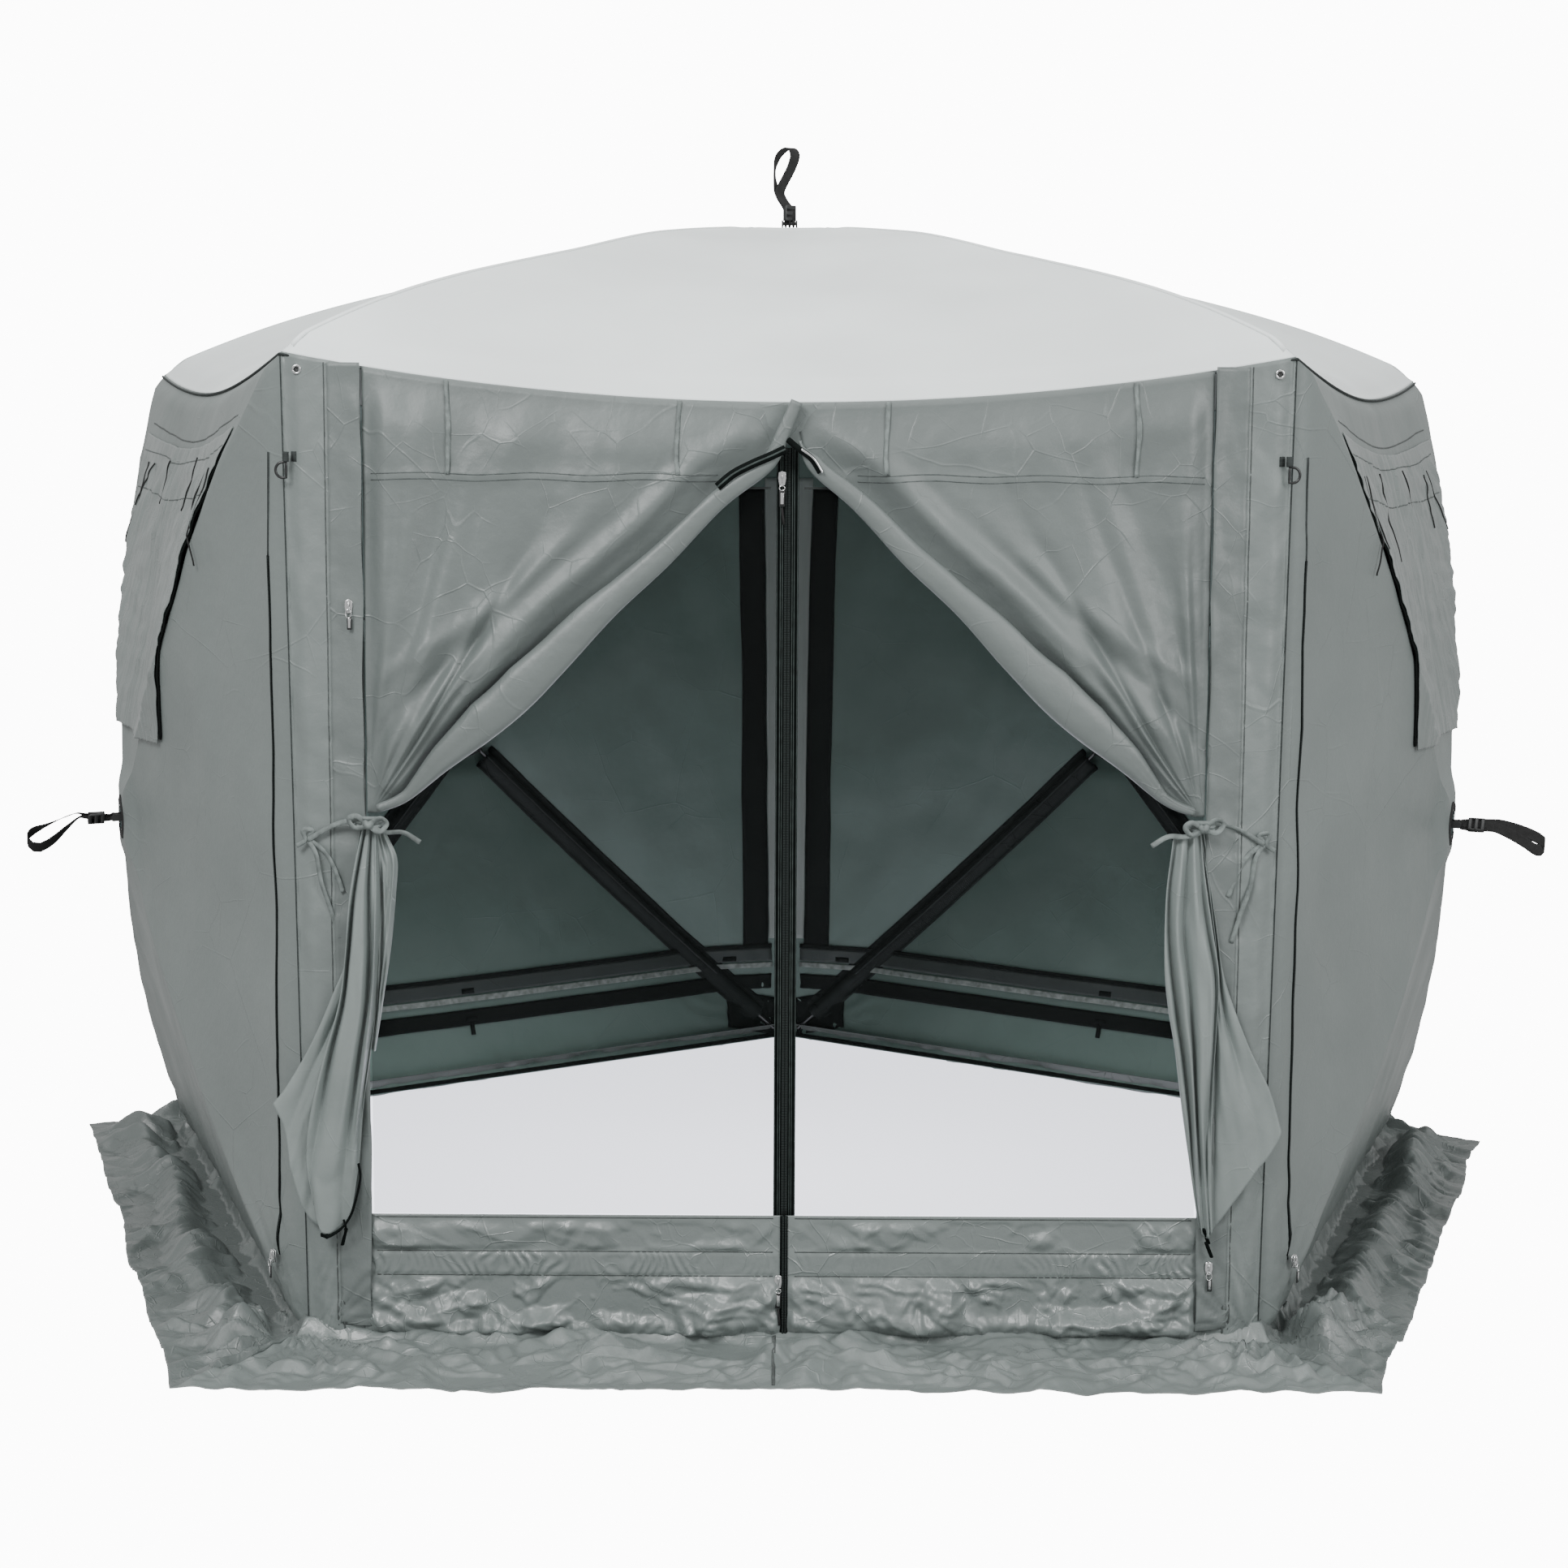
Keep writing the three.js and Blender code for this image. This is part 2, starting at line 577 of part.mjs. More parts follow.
const HUB_WALLS = [
  { name: "left", turn: -2, plus: "front", minus: "side" },
  { name: "back_left", turn: -4, plus: "side", minus: "back" },
  { name: "back_right", turn: 4, plus: "back", minus: "side" },
  { name: "right", turn: 2, plus: "side", minus: "front" },
];

for (const { name, turn, plus, minus } of HUB_WALLS) {
  const { around, upright } = wallFrame(turn * HALF_ANGLE);
  upright.add(mesh(`${name}_wall`, wallCanvas(), wallCloth));
  upright.add(popFrame(name, wallPoleEnds(plus, minus), WALL_POP));
  around.add(skirt(`${name}_skirt`));
  tent.add(around);
  const side = plus === "front" ? 1 : minus === "front" ? -1 : 0;
  if (side) {
    const { foot, up, out } = wallZip(side);
    upright.add(mesh(`${name}_wind_panel`, windPanel(), wallCloth));
    const runner = mesh(`${name}_wall_zip_slider`, slider(), blackMetal);
    upright.add(settle(runner, foot, up, out));
  }
}

const eaves = new THREE.Group();
eaves.position.z = CORNER_HEIGHT;
eaves.add(mesh("roof_canopy", roofCanopy(), roofCloth));
const ROOF_CORNERS = ["back", "side_left", "front_left", "front_right", "side_right"];
const roofPoleEnds = ROOF_CORNERS.map((label, i) => {
  const angle = Math.PI / 2 + i * 2 * HALF_ANGLE;
  return { label, x: TOP_RADIUS * Math.cos(angle), y: TOP_RADIUS * Math.sin(angle) };
});
eaves.add(popFrame("roof", roofPoleEnds, ROOF_POP));
tent.add(eaves);

const front = wallFrame(0);
front.around.add(skirt("front_skirt"));
front.upright.add(mesh("front_wall", frontWall(), wallCloth));
tent.add(front.around);

// A slider lies flat on the front cloth at a height above the ground.
function frontSlider(name, x, height) {
  const runner = mesh(name, slider(), castMetal);
  runner.position.set(x, (height - HUB_HEIGHT) / Math.cos(LEAN), PANEL_Z + CLOTH + 0.5);
  front.upright.add(runner);
  return runner;
}

for (const [label, side] of [["left", -1], ["right", 1]]) {
  const sill = doorHalf(side, -CLOTH_DOWN, SILL_Y - SILL_SEAM / 2);
  const screen = doorHalf(side, SILL_Y + SILL_SEAM / 2, DOOR_TOP_Y - DOOR_GAP);
  front.upright.add(mesh(`sill_${label}`, sill, wallCloth));
  front.upright.add(mesh(`screen_${label}`, screen, screenMesh));
  front.upright.add(mesh(`door_flap_${label}`, tiedFlap(side), wallCloth));
  const ring = mesh(`guy_ring_${label}`, dRing(side), blackMetal);
  ring.position.set(side * RING_X, RING_Y, RING_Z);
  front.upright.add(ring);
  frontSlider(`flap_zip_slider_${label}`, side * FLAP_ZIP_X, FLAP_SLIDER_HEIGHT[label]);
}

for (const label of ["top", "bottom"]) {
  const runner = frontSlider(`door_zip_slider_${label}`, -DOOR_ZIP_X, DOOR_SLIDER_HEIGHT[label]);
  const pull = mesh(`door_zip_pull_${label}`, pullTab(), castMetal);
  pull.position.copy(runner.position);
  front.upright.add(pull);
}

export default tent;
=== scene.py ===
"""Looks for the five-sided pop-up screen shelter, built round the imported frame. Metres, +Z up."""

import json
import math

import bpy
import numpy as np
from mathutils import Matrix, Vector


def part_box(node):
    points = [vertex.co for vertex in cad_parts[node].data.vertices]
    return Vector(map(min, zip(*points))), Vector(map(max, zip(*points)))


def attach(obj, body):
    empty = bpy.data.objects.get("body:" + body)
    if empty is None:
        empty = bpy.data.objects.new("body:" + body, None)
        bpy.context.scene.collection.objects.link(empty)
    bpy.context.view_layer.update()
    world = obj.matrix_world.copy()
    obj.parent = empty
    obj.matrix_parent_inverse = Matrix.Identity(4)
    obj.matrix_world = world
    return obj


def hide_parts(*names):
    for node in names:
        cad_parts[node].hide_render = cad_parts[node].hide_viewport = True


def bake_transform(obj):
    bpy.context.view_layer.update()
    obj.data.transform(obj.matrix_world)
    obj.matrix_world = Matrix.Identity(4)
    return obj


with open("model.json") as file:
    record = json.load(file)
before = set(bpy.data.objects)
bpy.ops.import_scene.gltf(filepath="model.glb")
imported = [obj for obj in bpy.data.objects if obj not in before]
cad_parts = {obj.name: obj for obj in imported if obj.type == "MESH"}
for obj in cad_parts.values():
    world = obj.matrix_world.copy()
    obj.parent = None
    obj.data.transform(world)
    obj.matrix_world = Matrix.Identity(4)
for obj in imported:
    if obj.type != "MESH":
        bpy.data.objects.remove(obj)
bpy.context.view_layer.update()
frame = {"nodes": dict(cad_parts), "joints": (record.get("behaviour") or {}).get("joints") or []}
JOINTS = {joint["name"]: joint for joint in frame["joints"]}

# ---------------------------------------------------------------- sizes

SIDES = 5
HALF_ANGLE = math.pi / SIDES
BASE_TO_EAVES = 0.9757  # the walls' feet stand this much closer together than the eaves
SEAM_GAP = 0.003
WALL_BOW = 0.035
ROOF_BOW = 0.062
EAVE_DIP = 0.085  # the eaves hang this much lower midway between two corners
FACE_SAG = 0.018
OFF_POLE = 0.0125  # from a pole's axis to the cloth over it
OFF_HUB = 0.0235
CLOTH = 0.0013
PIN_CIRCLE = 0.042
STRAP_HOLE = 0.027
GROUND_GAP = 0.008
FRONT_FACE = 0.0155  # outer face of the front wall's cloth
DOOR_HALF = 0.759
DOOR_TOP = 1.635
SILL_TOP = 0.2455
SKIRT_INNER = 1.2215
# Outer corners of the ground skirts, from the middle of the tent: front left, then anticlockwise.
SKIRT_CORNERS = [(-1.082, -1.538), (1.056, -1.542), (1.648, 0.330), (0.0, 1.860), (-1.672, 0.430)]
TIE = (0.752, 0.990)  # where a door flap is tied back: distance from the middle, height
NOISE_TABLE = 64
WALL_BULGE = 0.205  # how far a hub stands out of its wall's flat plane
ROOF_RISE = 0.288
DOOR_SIDES = (("left", -1), ("right", 1))
PANEL_ENDS = (("low_x", -1), ("high_x", 1))
FRONT_CORNERS = (("left", 1), ("right", -1))  # side walls, and where their front ends lie in x

# ---------------------------------------------------------------- numbers


def unit(v):
    v = np.asarray(v, float)
    return v / np.linalg.norm(v)


def smooth(x, low=0.0, high=1.0):
    t = np.clip((np.asarray(x, float) - low) / (high - low), 0, 1)
    return t * t * (3 - 2 * t)


def bell(x, centre, width):
    return np.exp(-(((np.asarray(x, float) - centre) / width) ** 2))


def noise(u, v, seed=0):
    """Smooth gradient noise between about -1 and 1, one cell to each unit."""
    u, v = np.broadcast_arrays(np.asarray(u, float), np.asarray(v, float))
    size = NOISE_TABLE
    turn = np.random.default_rng(seed).random((size, size)) * 2 * math.pi
    iu, iv = np.floor(u).astype(int), np.floor(v).astype(int)
    fu, fv = u - iu, v - iv
    su = fu**3 * (fu * (fu * 6 - 15) + 10)
    sv = fv**3 * (fv * (fv * 6 - 15) + 10)

    def corner(du, dv):
        angle = turn[(iu + du) % size, (iv + dv) % size]
        return np.cos(angle) * (fu - du) + np.sin(angle) * (fv - dv)

    low = corner(0, 0) * (1 - su) + corner(1, 0) * su
    high = corner(0, 1) * (1 - su) + corner(1, 1) * su
    return 1.5 * (low * (1 - sv) + high * sv)


def zigzag(x):
    """A straight-sided wave, 1 at whole numbers and 0 half way between them."""
    return np.abs(2 * (x - np.floor(x)) - 1)


def around(count):
    """Angles of equal steps round a circle."""
    return np.arange(count) / count * 2 * math.pi


def shares(rows, columns):
    """The shares down a grid, as a column, and across it, as a row, each from 0 to 1."""
    return np.linspace(0, 1, rows)[:, None], np.linspace(0, 1, columns)[None, :]


def raised(flat, z):
    """Flat points (..., 2) with a height each."""
    return np.concatenate([flat, z[..., None]], -1)


def unit_rows(v):
    return v / np.maximum(np.linalg.norm(v, axis=-1, keepdims=True), 1e-12)


def facets(u, v, seed, cell, layers):
    """Crumpled cloth as flat faces between straight creases, from 0 to about 1."""
    rng = np.random.default_rng(seed)
    total = 0
    weight = 0
    for k in range(layers):
        size = cell / 1.75**k
        share = 1 / 1.9**k
        for j in range(3):
            turn = math.pi * (j + 0.8 * rng.random()) / 3
            shift = 9 * rng.random()
            a = (u * math.cos(turn) + v * math.sin(turn)) / size
            b = (v * math.cos(turn) - u * math.sin(turn)) / size
            bent = a + shift + 0.8 * noise(a * 0.31 + shift, b * 0.37, seed + 7 * k + j)
            wave = zigzag(bent)
            some = smooth(noise(a * 0.43, b * 0.43 + shift, seed + 70 + 7 * k + j), -0.15, 0.6)
            total = total + share * wave * some
            weight += 0.55 * share
    return total / weight


def pleats(dx, dy, count, reach, seed):
    """Folds that run out from one point, deepest a little way off it."""
    r = np.hypot(dx, dy)
    turn = np.arctan2(dy, dx) / math.pi
    row = count * (turn + 0.05 * noise(turn * 9, r / reach, seed))
    wave = zigzag(row) - 0.4
    return wave * (r / reach) * np.exp(1 - (r / reach) ** 1.5)


def through(points, count):
    """A smooth curve through the points, cut into equal shares of its length."""
    p = np.asarray(points, float)
    p = np.vstack([2 * p[0] - p[1], p, 2 * p[-1] - p[-2]])
    out = []
    for i in range(1, len(p) - 2):
        a, b, c, d = p[i - 1], p[i], p[i + 1], p[i + 2]
        for t in np.linspace(0, 1, 16, endpoint=False):
            out.append(
                0.5 * (2 * b + (c - a) * t + (2 * a - 5 * b + 4 * c - d) * t**2
                       + (3 * b - a - 3 * c + d) * t**3)
            )
    out = np.array([*out, p[-2]])
    step = np.concatenate([[0], np.cumsum(np.linalg.norm(np.diff(out, axis=0), axis=1))])
    at = np.linspace(0, step[-1], count)
    return np.stack([np.interp(at, step, out[:, k]) for k in range(out.shape[1])], -1)


# ---------------------------------------------------------------- panel frames


class Panel:
    """A panel's frame: x along it, y up it, z out of the tent, origin in its flat plane."""

    def __init__(self, origin, x, z):
        self.origin = np.asarray(origin, float)
        self.x = unit(x)
        self.z = unit(z)
        self.y = unit(np.cross(self.z, self.x))

    def world(self, p):
        p = np.asarray(p, float)
        return self.origin + p[..., :1] * self.x + p[..., 1:2] * self.y + p[..., 2:3] * self.z

    def local(self, p):
        d = np.asarray(p, float) - self.origin
        return np.stack([d @ self.x, d @ self.y, d @ self.z], -1)


def hub_panel(name):
    push = JOINTS[f"{name}_hub_push"]
    pins = [j["pos_m"] for key, j in JOINTS.items() if key.startswith(f"{name}_pole_")]
    rise = -push["range_m"][0] / 2
    out = unit(push["axis"])
    panel = Panel(np.mean(pins, 0) - out * rise, JOINTS[f"{name}_pull_strap_swing"]["axis"], out)
    panel.pin_rise = rise
    return panel


def front_panel():
    hinge = JOINTS["door_left_swing"]
    across = np.array([1.0, 0, 0])
    out = unit(np.cross(across, hinge["axis"]))
    foot = np.asarray(hinge["pos_m"]) - across * hinge["pos_m"][0]
    return Panel(foot - out * (FRONT_FACE - 0.0015), across, out)


WALLS = ["left", "back_left", "back_right", "right"]
PANELS = {name: hub_panel(name) for name in [*WALLS, "roof"]}
FRONT = front_panel()
ROOF = PANELS["roof"]

EAVE_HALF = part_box("front_wall")[1].x + SEAM_GAP
BASE_HALF = EAVE_HALF * BASE_TO_EAVES
EAVE_APOTHEM = EAVE_HALF / math.tan(HALF_ANGLE)
CORNER_HEIGHT = ROOF.origin[2]
HUB_HEIGHT = FRONT.origin[2]
UP = (CORNER_HEIGHT - HUB_HEIGHT) / FRONT.y[2]
DOWN = (HUB_HEIGHT - GROUND_GAP) / FRONT.y[2]
EDGE_LEAN = (EAVE_HALF - BASE_HALF) / (UP + DOWN)
EDGE_AT_HUB = EAVE_HALF - EDGE_LEAN * UP
CENTRE_Y = ROOF.origin[1]


def front_y(height):
    """Place up the front wall of a height above the ground."""
    return (height - HUB_HEIGHT) / FRONT.y[2]


def eave_y(x):
    """Top edge of a wall, which dips between its corners."""
    return UP - EAVE_DIP * (1 - (np.asarray(x, float) / EAVE_HALF) ** 2)


def stand_out(t, rise, bow):
    return rise * t + bow * 4 * t * (1 - t)


def over_hub(t):
    return smooth(t, 0.88, 0.94)


def cloth_off(t):
    """From the poles to the cloth: nothing on the panel's edge, more over the hub."""
    return OFF_POLE * smooth(t, 0, 0.04) + (OFF_HUB - OFF_POLE) * over_hub(t)


def wall_place(x, y):
    """How near the hub a point of a wall lies, 0 to 1, and its arch: 0 at a pole, 1 between two."""
    x, y = np.asarray(x, float), np.asarray(y, float)
    side = (np.abs(x) - EDGE_LEAN * y) / EDGE_AT_HUB
    foot = -y / DOWN
    high = UP - EAVE_DIP
    root = np.maximum(y * y - 4 * high * EAVE_DIP * (x / EAVE_HALF) ** 2, 0)
    head = np.where(y > 0, (y + np.sqrt(root)) / (2 * high), 0)
    k = np.maximum(np.maximum(side, foot), np.maximum(head, 1e-6))
    along_side = (y / k + DOWN) / (UP + DOWN)
    along_row = (x / k + BASE_HALF) / (2 * BASE_HALF)
    s = np.where(k <= side + 1e-12, along_side, along_row)
    s = np.clip(s, 0, 1)
    return np.clip(1 - k, 0, 1), 4 * s * (1 - s)


def wall_fold(x, y, t, arch, seed):
    """Slack in a wall's cloth, none on its edge and its poles."""
    inside = smooth(t, 0, 0.12) * (1 - over_hub(t)) * (0.25 + 0.75 * arch)
    slack = 0.0045 * noise(x * 3.1, y * 3.1, seed) + 0.0022 * noise(x * 9, y * 6, seed + 1)
    foot = smooth(-y, DOWN - 0.16, DOWN)
    gathers = 0.0035 * noise(x * 26, y * 4, seed + 2) * foot
    fine = 0.0095 * (facets(x, y * 0.8, seed, 0.22, 3) - 0.25)
    corner = 0.008 * pleats(BASE_HALF - np.abs(x), y + DOWN, 16, 0.15, seed + 20)
    return slack * inside + (gathers + corner) * smooth(t, 0, 0.02) + fine * smooth(t, 0, 0.05)


def wall_z(x, y, seed=1):
    """Outer face of a wall's cloth."""
    t, arch = wall_place(x, y)
    sag = FACE_SAG * arch * 4 * t * (1 - t) * (1 - over_hub(t))
    z = stand_out(t, WALL_BULGE, WALL_BOW) + cloth_off(t) - sag + 0.002 * smooth(t, 0, 0.03)
    return z + wall_fold(x, y, t, arch, seed)


EDGE_NORMALS = [
    (math.cos(a), math.sin(a))
    for a in (math.pi / 2 + HALF_ANGLE * (2 * i + 1) for i in range(SIDES))
]


def roof_place(x, y):
    x, y = np.asarray(x, float), np.asarray(y, float)
    k = np.zeros(np.broadcast(x, y).shape) + 1e-6
    along = np.zeros_like(k)
    for nx, ny in EDGE_NORMALS:
        near = (x * nx + y * ny) / EAVE_APOTHEM
        beside = (y * nx - x * ny) / EAVE_HALF
        along = np.where(near > k, beside / np.maximum(near, 1e-6), along)
        k = np.maximum(k, near)
    return np.clip(1 - k, 0, 1), np.clip(1 - along**2, 0, 1)


def roof_z(x, y, seed=9):
    """Outer face of the roof's cloth, above the corners' height."""
    t, arch = roof_place(x, y)
    drop = EAVE_DIP * arch * (1 - t) ** 2
    drop = drop + FACE_SAG * arch * 4 * t * (1 - t) * (1 - over_hub(t))
    inside = smooth(t, 0, 0.1) * (1 - over_hub(t)) * (0.2 + 0.8 * arch)
    slack = 0.003 * noise(x * 2.6, y * 2.6, seed) + 0.0012 * noise(x * 8, y * 8, seed + 1)
    shoulder = 0.014 * smooth(t, 0.5, 0.72) * (1 - smooth(t, 0.86, 0.96))
    z = stand_out(t, ROOF_RISE, ROOF_BOW) + cloth_off(t) + 0.003 * smooth(t, 0, 0.03)
    return z - drop + slack * inside + shoulder


def hub_share(hub, x, y):
    """A point's share of its hub's travel: 0 on the panel's edge, 1 from the pole pins inwards."""
    t = (roof_place if hub == "roof" else wall_place)(x, y)[0]
    reach = math.hypot(EAVE_HALF, UP) if hub != "roof" else EAVE_HALF / math.sin(HALF_ANGLE)
    return np.minimum(t / (1 - PIN_CIRCLE / reach), 1)


# ---------------------------------------------------------------- meshes


def flat_map(points):
    """Cloth coordinates of a grid of points, in metres, from its middle row and column."""
    rows, columns = points.shape[:2]
    across = np.linalg.norm(np.diff(points[rows // 2], axis=0), axis=1)
    along = np.linalg.norm(np.diff(points[:, columns // 2], axis=0), axis=1)
    u = np.concatenate([[0], np.cumsum(across)])
    v = np.concatenate([[0], np.cumsum(along)])
    return np.stack(np.meshgrid(u, v), -1)


def normals_of(points, ring):
    if ring:
        across = np.roll(points, -1, 1) - np.roll(points, 1, 1)
    else:
        across = np.gradient(points, axis=1)
    return unit_rows(np.cross(across, np.gradient(points, axis=0)))


def area_of(points, ring=False):
    if ring:
        points = np.concatenate([points, points[:, :1]], 1)
    a = points[1:, 1:] - points[:-1, :-1]
    b = points[1:, :-1] - points[:-1, 1:]
    return float(np.linalg.norm(np.cross(a, b), axis=-1).sum() / 2)


def make(name, points, faces, materials, uv=None, lining=0):
    mesh = bpy.data.meshes.new(name)
    faces = faces.tolist() if isinstance(faces, np.ndarray) else faces
    mesh.from_pydata(np.asarray(points).tolist(), [], faces)
    for material in materials:
        mesh.materials.append(material)
    if uv is not None:
        layer = mesh.uv_layers.new(name="cloth")
        corners = np.zeros(len(mesh.loops), np.int32)
        mesh.loops.foreach_get("vertex_index", corners)
        layer.data.foreach_set("uv", np.asarray(uv, np.float32)[corners].ravel())
    mesh.polygons.foreach_set("use_smooth", [True] * len(mesh.polygons))
    if lining:
        index = np.zeros(len(mesh.polygons), np.int32)
        index[lining[0]:lining[1]] = 1
        mesh.polygons.foreach_set("material_index", index)
    mesh.update()
    piece = bpy.data.objects.new(name, mesh)
    bpy.context.scene.collection.objects.link(piece)
    return piece


def cloth(name, points, material, facing=None, uv=None, thick=CLOTH, ring=False, lining=None):
    """A closed sheet over a grid of points (rows, columns, 3). Its face looks towards facing."""
    points = np.asarray(points, float)
    if uv is None:
        uv = flat_map(points)
    n = normals_of(points, ring)
    if facing is not None and np.sum(n @ np.asarray(facing, float)) < 0:
        points, uv = points[:, ::-1], uv[:, ::-1]
        n = normals_of(points, ring)
    rows, columns = points.shape[:2]
    count = rows * columns
    r = np.arange(rows - 1)[:, None]
    c = np.arange(columns if ring else columns - 1)[None, :]
    n_c = (c + 1) % columns
    a, b = r * columns + c, r * columns + n_c
    d, e = a + columns, b + columns
    upper = np.stack([a, b, e, d], -1).reshape(-1, 4)
    lower = np.stack([a, d, e, b], -1).reshape(-1, 4) + count

    def rim(p, q):
        return np.stack([p, q, q + count, p + count], -1).reshape(-1, 4)

    faces = [upper, lower, rim(b[0], a[0]), rim(d[-1], e[-1])]
    if not ring:
        faces += [rim(a[:, 0], d[:, 0]), rim(e[:, -1], b[:, -1])]
    both = np.concatenate([points.reshape(-1, 3), (points - n * thick).reshape(-1, 3)])
    flat = np.asarray(uv, float).reshape(-1, 2)
    inner = (len(upper), len(upper) + len(lower)) if lining else 0
    looks = [material, lining] if lining else [material]
    piece = make(name, both, np.concatenate(faces), looks, np.concatenate([flat, flat]), inner)
    piece["cloth_area"] = area_of(points, ring)
    return piece


def tube(name, path, radius, material, sides=8, closed=False, squash=1.0, up=(0, 0, 1)):
    """A closed round tube along a path. radius may change along it."""
    path = np.asarray(path, float)
    count = len(path)
    radius = np.broadcast_to(np.asarray(radius, float), count)
    if closed:
        along = np.roll(path, -1, 0) - np.roll(path, 1, 0)
    else:
        along = np.gradient(path, axis=0)
    along = unit_rows(along)
    first = np.cross(along, np.asarray(up, float))
    weak = np.linalg.norm(first, axis=1) < 1e-3
    first[weak] = np.cross(along[weak], [0, 1, 0.01])
    first /= np.linalg.norm(first, axis=1, keepdims=True)
    second = np.cross(first, along) * squash
    angle = around(sides)
    ringed = (
        path[:, None]
        + radius[:, None, None] * np.cos(angle)[None, :, None] * first[:, None]
        + radius[:, None, None] * np.sin(angle)[None, :, None] * second[:, None]
    )
    r = np.arange(count if closed else count - 1)[:, None]
    c = np.arange(sides)[None, :]
    n_c = (c + 1) % sides
    n_r = (r + 1) % count
    faces = np.stack([r * sides + c, n_r * sides + c, n_r * sides + n_c, r * sides + n_c], -1)
    faces = faces.reshape(-1, 4).tolist()
    if not closed:
        faces.append(list(range(sides)))
        faces.append([(count - 1) * sides + k for k in range(sides)][::-1])
    length = np.concatenate([[0], np.cumsum(np.linalg.norm(np.diff(path, axis=0), axis=1))])
    uv = np.stack(np.meshgrid(angle * radius.mean(), length), -1).reshape(-1, 2)
    piece = make(name, ringed.reshape(-1, 3), faces, [material], uv)
    turn_outwards(piece)
    return piece


def turn_outwards(piece):
    mesh = piece.data
    mesh.calc_loop_triangles()
    corners = np.array([t.vertices for t in mesh.loop_triangles])
    co = np.array([v.co for v in mesh.vertices])
    co -= co.mean(0)
    a, b, c = co[corners[:, 0]], co[corners[:, 1]], co[corners[:, 2]]
    if np.einsum("ij,ij->i", a, np.cross(b, c)).sum() < 0:
        mesh.flip_normals()


def block(name, panel, at, size, material, bevel):
    """A box with rounded edges in a panel's axes."""
    half = np.asarray(size, float) / 2
    corners = np.array([[x, y, z] for x in (-1, 1) for y in (-1, 1) for z in (-1, 1)]) * half
    faces = [(0, 1, 3, 2), (4, 6, 7, 5), (0, 4, 5, 1), (2, 3, 7, 6), (0, 2, 6, 4), (1, 5, 7, 3)]
    piece = make(name, panel.world(corners + np.asarray(at, float)), faces, [material])
    turn_outwards(piece)
    rounded = piece.modifiers.new("round", "BEVEL")
    rounded.width = bevel
    rounded.segments = 2
    graph = bpy.context.evaluated_depsgraph_get()
    mesh = bpy.data.meshes.new_from_object(piece.evaluated_get(graph))
    piece.modifiers.clear()
    piece.data = mesh
    return piece


def joined(name, parts):
    with bpy.context.temp_override(active_object=parts[0], selected_editable_objects=parts):
        bpy.ops.object.join()
    parts[0].name = name
    parts[0].data.name = name
    return parts[0]


# ---------------------------------------------------------------- placing


SEWN = []


def fixed(piece, body="root", stands_for=()):
    """A piece that rides on one body. SEWN keeps those that the raised eaves move."""
    if body in ("root", "door_left", "door_right"):
        SEWN.append(piece)
    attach(piece, body)
    if stands_for:
        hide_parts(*stands_for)
    return piece


def follows(piece, hub, stands_for=()):
    """Cloth between the fixed edge of a panel and its hub.
    """
    panel = PANELS[hub]
    SEWN.append(piece)
    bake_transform(piece)
    co = np.zeros(len(piece.data.vertices) * 3)
    piece.data.vertices.foreach_get("co", co)
    p = panel.local(co.reshape(-1, 3))
    share = hub_share(hub, p[:, 0], p[:, 1]).astype(np.float32)
    if stands_for:
        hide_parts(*stands_for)
    return piece


def strip(name, panel, face, path, width, material, lift=0.0012, thick=0.001, step=0.012,
          cells=2, wave=0.0, inside=False, seed=0):
    """A flat tape sewn on a panel's cloth along a path of (x, y) points."""
    path = np.asarray(path, float)
    length = np.linalg.norm(np.diff(path, axis=0), axis=1).sum()
    line = through(path, max(3, int(length / step)))
    along = unit_rows(np.gradient(line, axis=0))
    beside = np.stack([-along[:, 1], along[:, 0]], -1)
    s = np.linspace(-0.5, 0.5, cells + 1)
    wide = np.broadcast_to(np.asarray(width, float), len(line))
    p = line[:, None] + beside[:, None] * s[None, :, None] * wide[:, None, None]
    at = np.arange(len(line))[:, None] * step
    ripple = wave * noise(at / 0.05, s[None, :] * 1.5, seed) if wave else 0
    away = -(CLOTH + lift) if inside else lift
    z = face(p[..., 0], p[..., 1]) + away + ripple
    grid = panel.world(raised(p, z))
    return cloth(name, grid, material, facing=-panel.z if inside else panel.z, thick=thick)


def patch(top, bottom, left, right, rows, columns):
    """Points between four edges that meet at their ends. Edges are lists of points."""
    t, b = through(top, columns), through(bottom, columns)
    lft, rgt = through(left, rows), through(right, rows)
    v, u = (share[..., None] for share in shares(rows, columns))
    across = lft[:, None] * (1 - u) + rgt[:, None] * u
    down = t[None] * (1 - v) + b[None] * v
    flat = (lft[0] * (1 - u) + rgt[0] * u) * (1 - v) + (lft[-1] * (1 - u) + rgt[-1] * u) * v
    return across + down - flat


# ---------------------------------------------------------------- materials


WAVE_LENGTH = 0.314  # of a wave texture at scale 1, in metres


